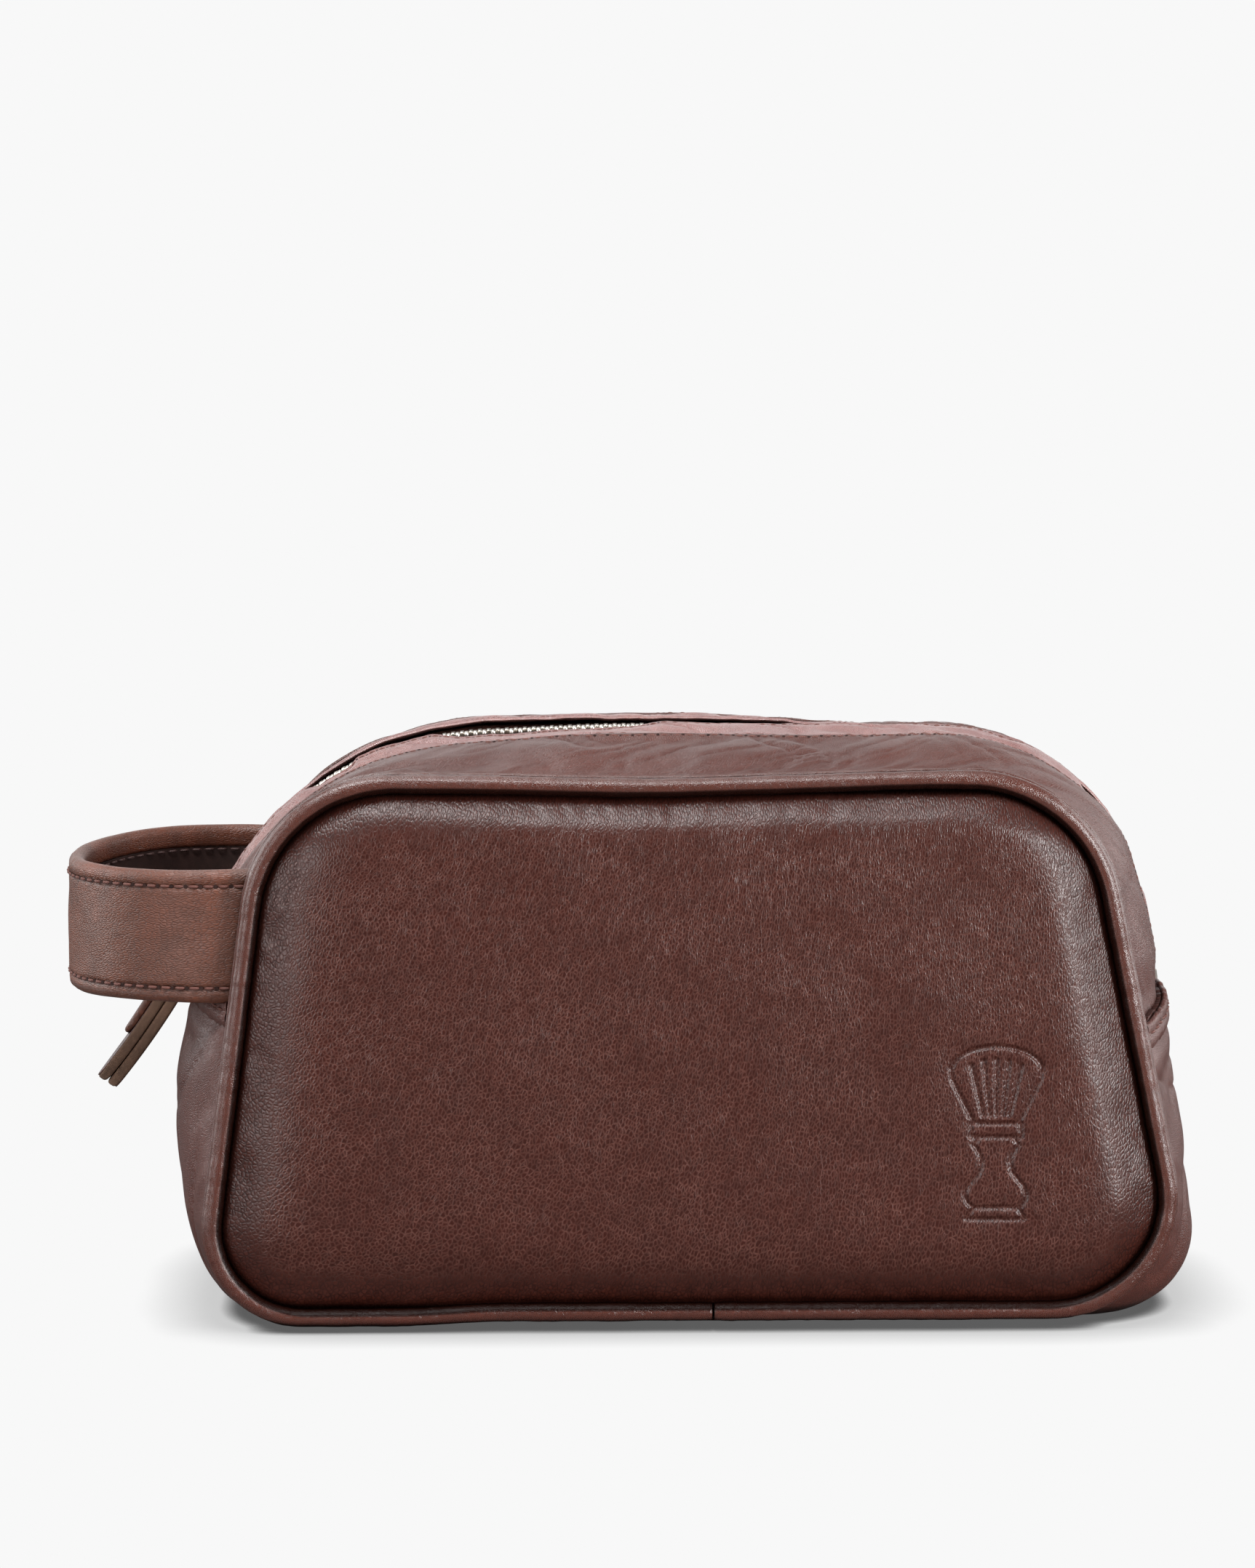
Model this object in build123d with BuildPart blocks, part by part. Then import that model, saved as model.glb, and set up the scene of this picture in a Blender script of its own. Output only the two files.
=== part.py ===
"""Leather shaving kit bag: padded trapezoid panels, piped seams, a gusset with a metal zip
over the top, and a carry loop on the left end.

Millimetres, +Z up, front panel towards -Y. The origin is the centre of the flat base.
"""
import math
import os

from build123d import *

# ---- driving dimensions -------------------------------------------------------------
# Panel seam outline in XZ, counter-clockwise from the bottom left corner.
SEAM_CORNERS = [(-124.2, 6.0), (127.3, 6.0), (99.7, 140.0), (-106.8, 140.0)]
SEAM_RADII = [21.0, 28.0, 34.0, 34.0]
# Gusset outline on the middle plane, y = 0.
CROWN_CORNERS = [(-137.5, 0.0), (138.5, 0.0), (117.0, 152.5), (-124.0, 152.5)]
CROWN_RADII = [28.0, 22.0, 62.0, 80.0]

GUSSET_EDGE_Y = 50.2        # gusset edge, just behind the piping
GUSSET_EDGE_OUT = 4.0       # gusset edge stands this far outside the seam outline
SHOULDER_Y = 36.0           # gusset shoulder between edge and crown
SHOULDER_BULGE = 0.72       # share of the bulge reached at the shoulder
CROWN_Y = 20.0              # the gusset is straight along Y inside this

LEATHER = 1.6
LINING_TOP = 2.0            # lining lies this far under the leather's outer face
LINING = 0.8

PANEL_BACK_Y = 51.3         # inner face of a padded panel
PANEL_FACE_Y = 58.2
PANEL_SKIN = 1.8
PIPING_Y = 53.2
PIPING_OUT = 3.0            # piping centre line outside the seam outline
PIPING_R = 2.75
PIPING_CORD_R = 1.5

HEM_TOP_Z = 82.0            # base gusset ends here, with a folded hem
HEM_WIDTH = 9.0
HEM_THICK = 1.8
TOP_START_Z = 82.3          # top gusset starts here

LIP_X = 88.0                # the lips of the mouth span from -LIP_X to LIP_X
LIP_GAP = 0.25
LIP_EDGE_Y = 46.3           # outer edge of a lip
SEAM_STRIP_Y = 48.2         # fixed strip of gusset between piping and lip
LIP_PIVOT = (46.8, 144.8)   # |y| and z of the lip's fold line

FACING_Y = (5.0, 19.8)      # facing strip beside the zip, lowest and highest |y|
FACING_DEPTH = (0.4, 1.4)   # below the crown outline
TAPE_Y = (4.05, 14.0)
TAPE_DEPTH = (1.5, 2.3)
RAIL_Y = (2.9, 4.0)         # moulded root of the teeth on the tape's edge
TOOTH_Y = (0.4, 3.0)
TOOTH_DEPTH = (0.4, 3.4)
TOOTH_PITCH = 2.4
TOOTH_WIDTH = 1.3
ZIP_START_DEG = 11.0        # first tooth, above the level of the left arc's centre
ZIP_END_Z = 87.0            # last tooth on the right end

SLIDER_DEG = 15.5           # slider at rest, on the left arc
SLIDER_LENGTH = 14.0
SLIDER_HALF_WIDTH = 4.6
SLIDER_TOP = (0.2, 1.6)
SLIDER_BOTTOM = (-5.4, -4.0)
PIVOT_HEIGHT = 4.5          # pull pivot above the crown outline
PIVOT_HOLE_R = 0.85
LINK_WIRE_R = 0.8
LINK_LENGTH = 9.0
LINK_HALF_WIDTH = 5.0
LINK_DOWN_DEG = 78.0        # link direction below the level, towards -X
PULL_DOWN_DEG = 55.0
PULL_LENGTH = 36.5
PULL_HALF_WIDTH = 5.5
PULL_LAYER = 2.9
PULL_START = 3.2
TAIL_LENGTH = 22.3
TAIL_THICK = 2.0

STRAP_CENTRE_X = -116.0
STRAP_R = 50.0
STRAP_LAYERS = (2.4, 1.9)   # outer leather, lining
STRAP_Z = (85.3, 119.8)
STRAP_PIVOT = (-136.0, 102.55)
STRAP_CUT_GAP = 1.0

BOARD = (200.0, 72.0, 1.5)      # length, width, thickness
POCKET = (120.0, 70.0, 0.6)
POCKET_LOW_Z = 25.0

BIG = 400.0


# ---- geometry helpers ---------------------------------------------------------------
def inset(corners, depth):
    """Corners of a convex counter-clockwise outline moved inwards by depth."""
    moved = []
    for i, here in enumerate(corners):
        before, after = corners[i - 1], corners[(i + 1) % len(corners)]
        a = (Vector(*here) - Vector(*before)).normalized()
        b = (Vector(*after) - Vector(*here)).normalized()
        normal_a, normal_b = Vector(-a.Y, a.X), Vector(-b.Y, b.X)
        shift = (normal_a + normal_b) * (depth / (1 + normal_a.dot(normal_b)))
        moved.append((here[0] + shift.X, here[1] + shift.Y))
    return moved


def blend(seam_value, crown_value, share):
    return seam_value + (crown_value - seam_value) * share


def gusset_outline(y, depth):
    """Corners and radii of the gusset at a station, depth below its outer face."""
    edge = inset(SEAM_CORNERS, -GUSSET_EDGE_OUT)
    share = {GUSSET_EDGE_Y: 0.0, SHOULDER_Y: SHOULDER_BULGE, CROWN_Y: 1.0}[abs(y)]
    corners = []
    for (edge_x, edge_z), (crown_x, crown_z) in zip(edge, CROWN_CORNERS):
        lift = share if crown_z > 0 or share == 0 else 1.0
        corners.append((blend(edge_x, crown_x, share), blend(edge_z, crown_z, lift)))
    radii = [
        blend(seam_r + GUSSET_EDGE_OUT, crown_r, share) - depth
        for seam_r, crown_r in zip(SEAM_RADII, CROWN_RADII)
    ]
    return inset(corners, depth), radii


def rounded_face(y, corners, radii):
    """Face of a rounded outline on the plane at y."""
    with BuildSketch(Plane.XZ.offset(-y)) as sketch:
        with BuildLine():
            FilletPolyline(*corners, radius=radii, close=True)
        make_face()
    return sketch.sketch.face()


def seam_face(y, depth):
    """Face of the panel seam outline, moved inwards by depth, on the plane at y."""
    return rounded_face(y, inset(SEAM_CORNERS, depth), [r - depth for r in SEAM_RADII])


def barrel(depth):
    """Solid of the gusset's shape, depth below its outer face."""
    stations = [-GUSSET_EDGE_Y, -SHOULDER_Y, -CROWN_Y, CROWN_Y, SHOULDER_Y, GUSSET_EDGE_Y]
    with BuildPart() as body:
        loft([rounded_face(y, *gusset_outline(y, depth)) for y in stations], ruled=True)
    return body.part


def shell(top, bottom):
    """Layer of the gusset between two depths, open towards the panels."""
    with BuildPart() as layer:
        add(barrel(top))
        add(barrel(bottom), mode=Mode.SUBTRACT)
    return layer.part


def block(x_range, y_range, z_range):
    """Box between limits."""
    sizes = [high - low for low, high in (x_range, y_range, z_range)]
    centre = [(high + low) / 2 for low, high in (x_range, y_range, z_range)]
    with BuildPart() as box:
        with Locations(tuple(centre)):
            Box(*sizes)
    return box.part


def sided(side, y_range):
    """Limits of |y| turned into limits of y on the front (-1) or back (1)."""
    return (min(side * v for v in y_range), max(side * v for v in y_range))


def crown_band(depth_range, y_range):
    """Band of the straight middle of the gusset, between two depths and two y values."""
    low, high = y_range
    outer_corners, outer_radii = gusset_outline(CROWN_Y, depth_range[0])
    inner_corners, inner_radii = gusset_outline(CROWN_Y, depth_range[1])
    with BuildPart() as band:
        with BuildSketch(Plane.XZ.offset(-high)):
            with BuildLine():
                FilletPolyline(*outer_corners, radius=outer_radii, close=True)
            make_face()
            with BuildLine():
                FilletPolyline(*inner_corners, radius=inner_radii, close=True)
            make_face(mode=Mode.SUBTRACT)
        extrude(amount=high - low)
    return band.part


def fillet_centre(index):
    """Centre of one corner arc of the crown outline."""
    return inset(CROWN_CORNERS, CROWN_RADII[index])[index]


LEFT_X, LEFT_Z = fillet_centre(3)
RIGHT_X, RIGHT_Z = fillet_centre(2)
LEFT_R, RIGHT_R = CROWN_RADII[3], CROWN_RADII[2]
RIGHT_LEAN = math.degrees(
    math.atan2(CROWN_CORNERS[1][0] - CROWN_CORNERS[2][0], CROWN_CORNERS[2][1])
)


def zip_stations():
    """Planes along the zip, one a tooth: x along the zip, z outwards, y to the back."""
    left_length = math.radians(90 - ZIP_START_DEG) * LEFT_R
    top_length = RIGHT_X - LEFT_X
    right_length = math.radians(90 - RIGHT_LEAN) * RIGHT_R
    lean = math.radians(RIGHT_LEAN)
    side_top_z = RIGHT_Z + RIGHT_R * math.sin(lean)
    side_length = (side_top_z - ZIP_END_Z) / math.cos(lean)
    count = int((left_length + top_length + right_length + side_length) / TOOTH_PITCH)
    for i in range(count):
        s = i * TOOTH_PITCH
        if s < left_length:
            turn = math.radians(ZIP_START_DEG) + s / LEFT_R
            x = LEFT_X - LEFT_R * math.cos(turn)
            z = LEFT_Z + LEFT_R * math.sin(turn)
            heading = math.pi / 2 - turn
        elif s < left_length + top_length:
            x, z, heading = LEFT_X + s - left_length, LEFT_Z + LEFT_R, 0.0
        elif s < left_length + top_length + right_length:
            heading = -(s - left_length - top_length) / RIGHT_R
            x = RIGHT_X - RIGHT_R * math.sin(heading)
            z = RIGHT_Z + RIGHT_R * math.cos(heading)
        else:
            down = s - left_length - top_length - right_length
            heading = lean - math.pi / 2
            x = RIGHT_X + RIGHT_R * math.cos(lean) + down * math.sin(lean)
            z = side_top_z - down * math.cos(lean)
        along = (math.cos(heading), 0, math.sin(heading))
        outwards = (-math.sin(heading), 0, math.cos(heading))
        yield Plane(origin=(x, 0, z), x_dir=along, z_dir=outwards)


ZONES = {
    "left": ((-BIG, -LIP_X - LIP_GAP), (TOP_START_Z, BIG)),
    "mid": ((-LIP_X, LIP_X), (LEFT_Z, BIG)),
    "right": ((LIP_X + LIP_GAP, BIG), (TOP_START_Z, BIG)),
}
SIDES = {"front": -1, "back": 1}


def save(builder, name):
    builder.part.label = name
    export_step(builder.part, f"parts/{name}.step")


os.makedirs("parts", exist_ok=True)


# ---- padded panels and piping ---------------------------------------------------------
for side_name, side in SIDES.items():
    skin_steps = [(PANEL_BACK_Y, 0), (53.4, 0), (56.6, 3.5), (PANEL_FACE_Y, 9.0)]
    pad_steps = [
        (PANEL_BACK_Y, PANEL_SKIN),
        (53.0, PANEL_SKIN),
        (55.2, 4.8),
        (PANEL_FACE_Y - PANEL_SKIN, 9.6),
    ]
    with BuildPart() as pad:
        loft([seam_face(side * y, depth) for y, depth in pad_steps], ruled=True)
    save(pad, f"{side_name}_pad")

    with BuildPart() as panel:
        loft([seam_face(side * y, depth) for y, depth in skin_steps], ruled=True)
        add(pad.part, mode=Mode.SUBTRACT)
    save(panel, f"{side_name}_panel")

    with BuildPart() as panel_lining:
        loft([seam_face(side * y, 0.3) for y in (GUSSET_EDGE_Y + 0.1, GUSSET_EDGE_Y + 0.9)])
    save(panel_lining, f"{side_name}_panel_lining")

    piping_corners = inset(SEAM_CORNERS, -PIPING_OUT)
    piping_radii = [r + PIPING_OUT for r in SEAM_RADII]
    with BuildLine(Plane.XZ.offset(-side * PIPING_Y)) as piping_route:
        FilletPolyline(*piping_corners, radius=piping_radii, close=True)
    route = piping_route.wire()
    start = Plane(origin=route @ 0, z_dir=route % 0)

    with BuildPart() as piping:
        with BuildSketch(start):
            Circle(PIPING_R)
            Circle(PIPING_CORD_R, mode=Mode.SUBTRACT)
        sweep(path=route)
    save(piping, f"{side_name}_piping")

    with BuildPart() as piping_cord:
        with BuildSketch(start):
            Circle(PIPING_CORD_R)
        sweep(path=route)
    save(piping_cord, f"{side_name}_piping_cord")


# ---- base gusset ------------------------------------------------------------------------
leather_shell = shell(0, LEATHER)
lining_shell = shell(LINING_TOP, LINING_TOP + LINING)
below_hem = block((-BIG, BIG), (-BIG, BIG), (-BIG, HEM_TOP_Z))

with BuildPart() as base_gusset:
    add(leather_shell)
    add(below_hem, mode=Mode.INTERSECT)
save(base_gusset, "base_gusset")

with BuildPart() as base_lining:
    add(lining_shell)
    add(below_hem, mode=Mode.INTERSECT)
save(base_lining, "base_lining")

board_low_z = LINING_TOP + LINING + 0.1
with BuildPart() as base_board:
    with BuildSketch(Plane.XY.offset(board_low_z)):
        RectangleRounded(BOARD[0], BOARD[1], 12)
    extrude(amount=BOARD[2])
save(base_board, "base_board")

hem_shell = shell(-HEM_THICK - 0.1, -0.1)
for end_name, x_range in {"left": (-BIG, -80), "right": (80, BIG)}.items():
    with BuildPart() as hem:
        add(hem_shell)
        hem_block = block(x_range, (-48.5, 48.5), (HEM_TOP_Z - HEM_WIDTH, HEM_TOP_Z))
        add(hem_block, mode=Mode.INTERSECT)
    save(hem, f"{end_name}_gusset_hem")

pocket_y = GUSSET_EDGE_Y - POCKET[2]
with BuildPart() as slip_pocket:
    add(
        block(
            (-POCKET[0] / 2, POCKET[0] / 2),
            (pocket_y, GUSSET_EDGE_Y),
            (POCKET_LOW_Z, POCKET_LOW_Z + POCKET[1]),
        )
    )
save(slip_pocket, "slip_pocket")


# ---- top gusset, facing strips and zip ----------------------------------------------------
teeth_planes = list(zip_stations())

for side_name, side in SIDES.items():
    with BuildPart() as seam_strip:
        add(leather_shell)
        strip_y = sided(side, (SEAM_STRIP_Y, BIG))
        add(block((-LIP_X, LIP_X), strip_y, (LEFT_Z, BIG)), mode=Mode.INTERSECT)
    save(seam_strip, f"{side_name}_seam_strip")

    facing_band = crown_band(FACING_DEPTH, sided(side, FACING_Y))
    tape_band = crown_band(TAPE_DEPTH, sided(side, TAPE_Y))
    rail_band = crown_band(TOOTH_DEPTH, sided(side, RAIL_Y))
    stagger = 0.5 if side > 0 else 0.0

    for zone_name, (zone_x, zone_z) in ZONES.items():
        outer_y = LIP_EDGE_Y if zone_name == "mid" else BIG
        gusset_zone = block(zone_x, sided(side, (CROWN_Y + 0.1, outer_y)), zone_z)
        zip_zone = block(zone_x, (-BIG, BIG), zone_z)

        with BuildPart() as top_gusset:
            add(leather_shell)
            add(gusset_zone, mode=Mode.INTERSECT)
        save(top_gusset, f"{side_name}_top_gusset_{zone_name}")

        with BuildPart() as facing:
            add(facing_band)
            add(zip_zone, mode=Mode.INTERSECT)
        save(facing, f"{side_name}_zip_facing_{zone_name}")

        with BuildPart() as tape:
            add(tape_band)
            add(zip_zone, mode=Mode.INTERSECT)
        save(tape, f"{side_name}_zip_tape_{zone_name}")

        teeth_here = []
        for plane in teeth_planes:
            centre = plane.origin + plane.x_dir * (TOOTH_PITCH * stagger)
            inside = zone_x[0] + TOOTH_PITCH < centre.X < zone_x[1] - TOOTH_PITCH
            if inside and centre.Z > ZIP_END_Z - 3:
                depth = -(TOOTH_DEPTH[0] + TOOTH_DEPTH[1]) / 2
                middle_y = side * (TOOTH_Y[0] + TOOTH_Y[1]) / 2
                tooth = centre + plane.z_dir * depth + Vector(0, middle_y, 0)
                teeth_here.append(Plane(origin=tooth, x_dir=plane.x_dir, z_dir=plane.z_dir))
        with BuildPart() as teeth:
            add(rail_band)
            add(
                block(zone_x, (-BIG, BIG), (ZIP_END_Z, BIG)),
                mode=Mode.INTERSECT,
            )
            with Locations(*teeth_here):
                Box(TOOTH_WIDTH, TOOTH_Y[1] - TOOTH_Y[0], TOOTH_DEPTH[1] - TOOTH_DEPTH[0])
        save(teeth, f"{side_name}_zip_teeth_{zone_name}")

    with BuildPart() as lip_lining:
        add(lining_shell)
        lining_y = sided(side, (TAPE_Y[1] + 0.3, LIP_EDGE_Y))
        add(block((-LIP_X, LIP_X), lining_y, (LEFT_Z, BIG)), mode=Mode.INTERSECT)
    save(lip_lining, f"{side_name}_lip_lining")

stop_band = crown_band((0.2, 3.6), (-3.8, 3.8))
stop_zones = {"left": (-BIG, 0), "right": (0, BIG)}
for end_name, x_range in stop_zones.items():
    with BuildPart() as stop:
        add(stop_band)
        add(block(x_range, (-BIG, BIG), (84.0, 86.4)), mode=Mode.INTERSECT)
    save(stop, f"zip_stop_{end_name}")


# ---- slider, link and leather pull -----------------------------------------------------------
def polar(radius, degrees):
    """Point at a radius from the left arc's centre, at an angle above its level."""
    turn = math.radians(degrees)
    return Vector(LEFT_X - radius * math.cos(turn), 0, LEFT_Z + radius * math.sin(turn))


def towards_left(down_degrees):
    turn = math.radians(down_degrees)
    return Vector(-math.cos(turn), 0, -math.sin(turn))


def hanging_plane(origin, down_degrees):
    """Plane with x along a hanging piece and z away from the bag."""
    along = towards_left(down_degrees)
    return Plane(origin=origin, x_dir=along, z_dir=Vector(0, 1, 0).cross(along))


slider_origin = polar(LEFT_R, SLIDER_DEG)
outwards = (slider_origin - Vector(LEFT_X, 0, LEFT_Z)).normalized()
slider_plane = Plane(
    origin=slider_origin,
    x_dir=Vector(outwards.Z, 0, -outwards.X),
    z_dir=outwards,
)

with BuildPart(slider_plane) as zip_slider:
    with Locations((0, 0, sum(SLIDER_TOP) / 2)):
        Box(SLIDER_LENGTH, 2 * SLIDER_HALF_WIDTH, SLIDER_TOP[1] - SLIDER_TOP[0])
    with Locations((0, 0, sum(SLIDER_BOTTOM) / 2)):
        Box(SLIDER_LENGTH, 2 * SLIDER_HALF_WIDTH, SLIDER_BOTTOM[1] - SLIDER_BOTTOM[0])
    fillet(zip_slider.edges().filter_by(Axis(slider_origin, outwards)), 2.4)
    with Locations((3.5, 0, (SLIDER_BOTTOM[1] + SLIDER_TOP[0]) / 2)):
        Box(4, 0.5, SLIDER_TOP[0] - SLIDER_BOTTOM[1] + 0.2)
    with Locations((0, 0, SLIDER_TOP[1] + 2.2)):
        Box(6, 2.4, 4.6)
    with Locations(Location((0, 0, PIVOT_HEIGHT), (90, 0, 0))):
        Cylinder(PIVOT_HOLE_R, 10, mode=Mode.SUBTRACT)
save(zip_slider, "zip_slider")

pivot = polar(LEFT_R + PIVOT_HEIGHT, SLIDER_DEG)
link_plane = hanging_plane(pivot, LINK_DOWN_DEG)
with BuildLine(link_plane) as link_route:
    FilletPolyline(
        (LINK_LENGTH / 2, -LINK_HALF_WIDTH),
        (LINK_LENGTH, -LINK_HALF_WIDTH),
        (LINK_LENGTH, LINK_HALF_WIDTH),
        (0, LINK_HALF_WIDTH),
        (0, -LINK_HALF_WIDTH),
        (LINK_LENGTH / 2 - 0.01, -LINK_HALF_WIDTH),
        radius=1.6,
    )
link_wire = link_route.wire()
with BuildPart() as pull_link:
    with BuildSketch(Plane(origin=link_wire @ 0, z_dir=link_wire % 0)):
        Circle(LINK_WIRE_R)
    sweep(path=link_wire)
save(pull_link, "pull_link")

loop_centre = pivot + towards_left(LINK_DOWN_DEG) * LINK_LENGTH
pull_plane = hanging_plane(loop_centre, PULL_DOWN_DEG)

with BuildPart(pull_plane) as pull_loop:
    with Locations(Location((0, 0, 0), (90, 0, 0))):
        Cylinder(2.3, 2 * 3.2)
    with Locations((PULL_START / 2, 0, 0)):
        Box(PULL_START, 2 * 3.2, 2 * 1.8)
    with Locations(Location((0, 0, 0), (90, 0, 0))):
        Cylinder(0.95, 20, mode=Mode.SUBTRACT)
save(pull_loop, "pull_loop")

pull_layers = {
    "pull_layer_inner": (-PULL_LAYER - 0.05, -0.05, PULL_LENGTH),
    "pull_layer_outer": (0.05, PULL_LAYER + 0.05, PULL_LENGTH),
    "pull_tail": (PULL_LAYER + 0.15, PULL_LAYER + 0.15 + TAIL_THICK, TAIL_LENGTH),
}
for layer_name, (low, high, length) in pull_layers.items():
    with BuildPart() as layer:
        with BuildSketch(pull_plane.offset(low)):
            with Locations(((PULL_START + length - PULL_HALF_WIDTH) / 2, 0)):
                Rectangle(length - PULL_HALF_WIDTH - PULL_START, 2 * PULL_HALF_WIDTH)
            with Locations((length - PULL_HALF_WIDTH, 0)):
                Circle(PULL_HALF_WIDTH)
        extrude(amount=high - low)
    save(layer, layer_name)


# ---- carry loop ----------------------------------------------------------------------------
strap_height = STRAP_Z[1] - STRAP_Z[0]
turning_radius = strap_height / 2


def strap_band(outer_radius, inner_radius):
    """Half ring standing on edge, open towards the bag."""
    with BuildPart() as band:
        with BuildSketch(Plane.XY.offset(STRAP_Z[0])):
            with Locations((STRAP_CENTRE_X, 0)):
                Circle(outer_radius)
                Circle(inner_radius, mode=Mode.SUBTRACT)
            with Locations((STRAP_CENTRE_X + BIG / 2 - 1.6, 0)):
                Rectangle(BIG, BIG, mode=Mode.SUBTRACT)
        extrude(amount=strap_height)
    return band.part


def strap_side(radius):
    """Everything of the loop that turns: beyond the pivot, and a disc around it."""
    with BuildPart() as side_part:
        with Locations(Location((STRAP_PIVOT[0], 0, STRAP_PIVOT[1]), (90, 0, 0))):
            Cylinder(radius, BIG)
        add(block((-BIG, STRAP_PIVOT[0]), (-BIG, BIG), (-BIG, BIG)))
    return side_part.part


outer_face, layer_face = STRAP_R, STRAP_R - STRAP_LAYERS[0]
inner_face = layer_face - STRAP_LAYERS[1]
whole_loop = strap_band(outer_face, inner_face)
turning_zone = strap_side(turning_radius)
fixed_zone = strap_side(turning_radius + STRAP_CUT_GAP)
strap_skins = {
    "strap_outer": strap_band(outer_face, layer_face + 0.05),
    "strap_lining": strap_band(layer_face - 0.05, inner_face),
}
for skin_name, band in strap_skins.items():
    with BuildPart() as strap_skin:
        add(band)
        add(turning_zone, mode=Mode.INTERSECT)
    save(strap_skin, skin_name)

gusset_clearance = barrel(-0.3)
for side_name, side in SIDES.items():
    with BuildPart() as strap_end:
        add(whole_loop)
        add(fixed_zone, mode=Mode.SUBTRACT)
        add(block((-BIG, BIG), sided(side, (0, BIG)), (-BIG, BIG)), mode=Mode.INTERSECT)
        add(gusset_clearance, mode=Mode.SUBTRACT)
    save(strap_end, f"strap_end_{side_name}")

print(f"left zip arc centre ({LEFT_X:.2f}, {LEFT_Z:.2f}), slider pivot {pivot}")
print(f"pull loop centre {loop_centre}")
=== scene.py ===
"""Looks of the leather shaving kit bag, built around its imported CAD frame.

Lengths are millimetres and become metres when a mesh is made. The front panel faces -Y,
the carry loop is at -X, +Z is up and the bag stands on z = 0.
"""
import math

import bpy
import numpy as np
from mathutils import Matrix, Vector


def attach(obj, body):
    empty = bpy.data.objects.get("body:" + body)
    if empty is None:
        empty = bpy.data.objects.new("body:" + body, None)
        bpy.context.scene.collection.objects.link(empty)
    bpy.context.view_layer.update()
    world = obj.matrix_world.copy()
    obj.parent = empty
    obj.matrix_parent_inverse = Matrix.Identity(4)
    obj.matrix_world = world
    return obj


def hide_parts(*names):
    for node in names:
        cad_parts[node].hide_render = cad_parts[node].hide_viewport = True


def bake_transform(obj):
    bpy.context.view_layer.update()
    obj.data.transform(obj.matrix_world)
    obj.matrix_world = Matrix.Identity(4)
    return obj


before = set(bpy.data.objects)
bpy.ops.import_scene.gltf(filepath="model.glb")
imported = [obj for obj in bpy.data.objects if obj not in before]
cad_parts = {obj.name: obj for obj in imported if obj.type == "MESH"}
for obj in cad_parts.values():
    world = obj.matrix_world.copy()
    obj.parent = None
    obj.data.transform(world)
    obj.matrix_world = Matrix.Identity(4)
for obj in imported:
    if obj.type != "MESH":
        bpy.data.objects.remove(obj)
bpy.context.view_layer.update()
MM = 0.001

# ---- driving dimensions -------------------------------------------------------------------------------
# The seam, crown, gusset and loop outlines are those of the CAD source. The padded and rolled
# parts are a little smaller or fuller than their plain CAD solids.
SEAM_CORNERS = np.array([(-124.2, 6.0), (127.3, 6.0), (99.7, 140.0), (-106.8, 140.0)])
SEAM_RADII = np.array([21.0, 28.0, 34.0, 34.0])
CROWN_CORNERS = np.array([(-137.5, 0.0), (138.5, 0.0), (117.0, 152.5), (-124.0, 152.5)])
CROWN_RADII = np.array([28.0, 22.0, 62.0, 80.0])
EDGE_Y, EDGE_OUT = 50.2, 4.0           # gusset edge: place, and reach past the seam
SHOULDER_Y, CROWN_Y = 36.0, 20.0       # where the gusset turns, and where it is full height
LEATHER = 1.6
PANEL_CENTRE = np.array([2.0, 72.0])
PANEL_SEAM_Y, PANEL_BACK_Y = 51.5, 51.0
PANEL_SHOULDER = 10.5                  # width of the panel's rolled edge
PIPING_Y, PIPING_OUT, PIPING_R = 53.2, 2.35, 2.45   # OUT is measured outside the seam outline
BEAD_Y, BEAD_OUT, BEAD_R = 51.2, 4.50, 0.72
BINDING_Y, BINDING_OUT, BINDING_R = 48.6, 0.6, 1.5
GUSSET_INNER_Y = 20.6
GUSSET_STITCH_Y, SEAM_STITCH_Y, FACING_STITCH_Y = 22.1, 18.8, 7.0
FACING_OUTER_Y, FACING_INNER_Y = 20.2, 5.0
TAPE_OUTER_Y, TAPE_INNER_Y = 14.0, 1.6
ZIP_PITCH = 2.4                        # between teeth of one row
HEM_Z, HEM_DIP = 84.5, 6.0             # the right hem's height in its middle, and its fall at the seams
HEM_WIDTH, HEM_HALF_LENGTH = 9.0, 48.8
HEM_THICK = 1.9
LEFT_HEM_RISE = 7.0                    # the left hem stands higher, behind the loop
STRAP_CENTRE_X, STRAP_R, STRAP_THICK = -116.0, 50.0, 4.4
STRAP_PULL_IN = 0.96                   # the loop is pulled in from a half circle
STRAP_LOW_Z, STRAP_HIGH_Z = 85.3, 119.8
STRAP_MID_Z, STRAP_HALF_WIDTH = (STRAP_LOW_Z + STRAP_HIGH_Z) / 2, (STRAP_HIGH_Z - STRAP_LOW_Z) / 2
STRAP_STITCH, STRAP_INNER_STITCH = 13.2, 10.6   # stitch rows from the loop's middle height


# ---- noise --------------------------------------------------------------------------------------------
def value_noise(u, v, seed):
    """Smooth noise from 0 to 1 on a lattice of unit cells."""
    size = 64
    table = np.random.RandomState(seed).rand(size, size)
    cell_u, cell_v = np.floor(u).astype(int), np.floor(v).astype(int)
    fade_u, fade_v = u - cell_u, v - cell_v
    fade_u = fade_u**3 * (fade_u * (fade_u * 6 - 15) + 10)
    fade_v = fade_v**3 * (fade_v * (fade_v * 6 - 15) + 10)
    a = table[cell_u % size, cell_v % size]
    b = table[(cell_u + 1) % size, cell_v % size]
    c = table[cell_u % size, (cell_v + 1) % size]
    d = table[(cell_u + 1) % size, (cell_v + 1) % size]
    return (a * (1 - fade_u) + b * fade_u) * (1 - fade_v) + (c * (1 - fade_u) + d * fade_u) * fade_v


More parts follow.
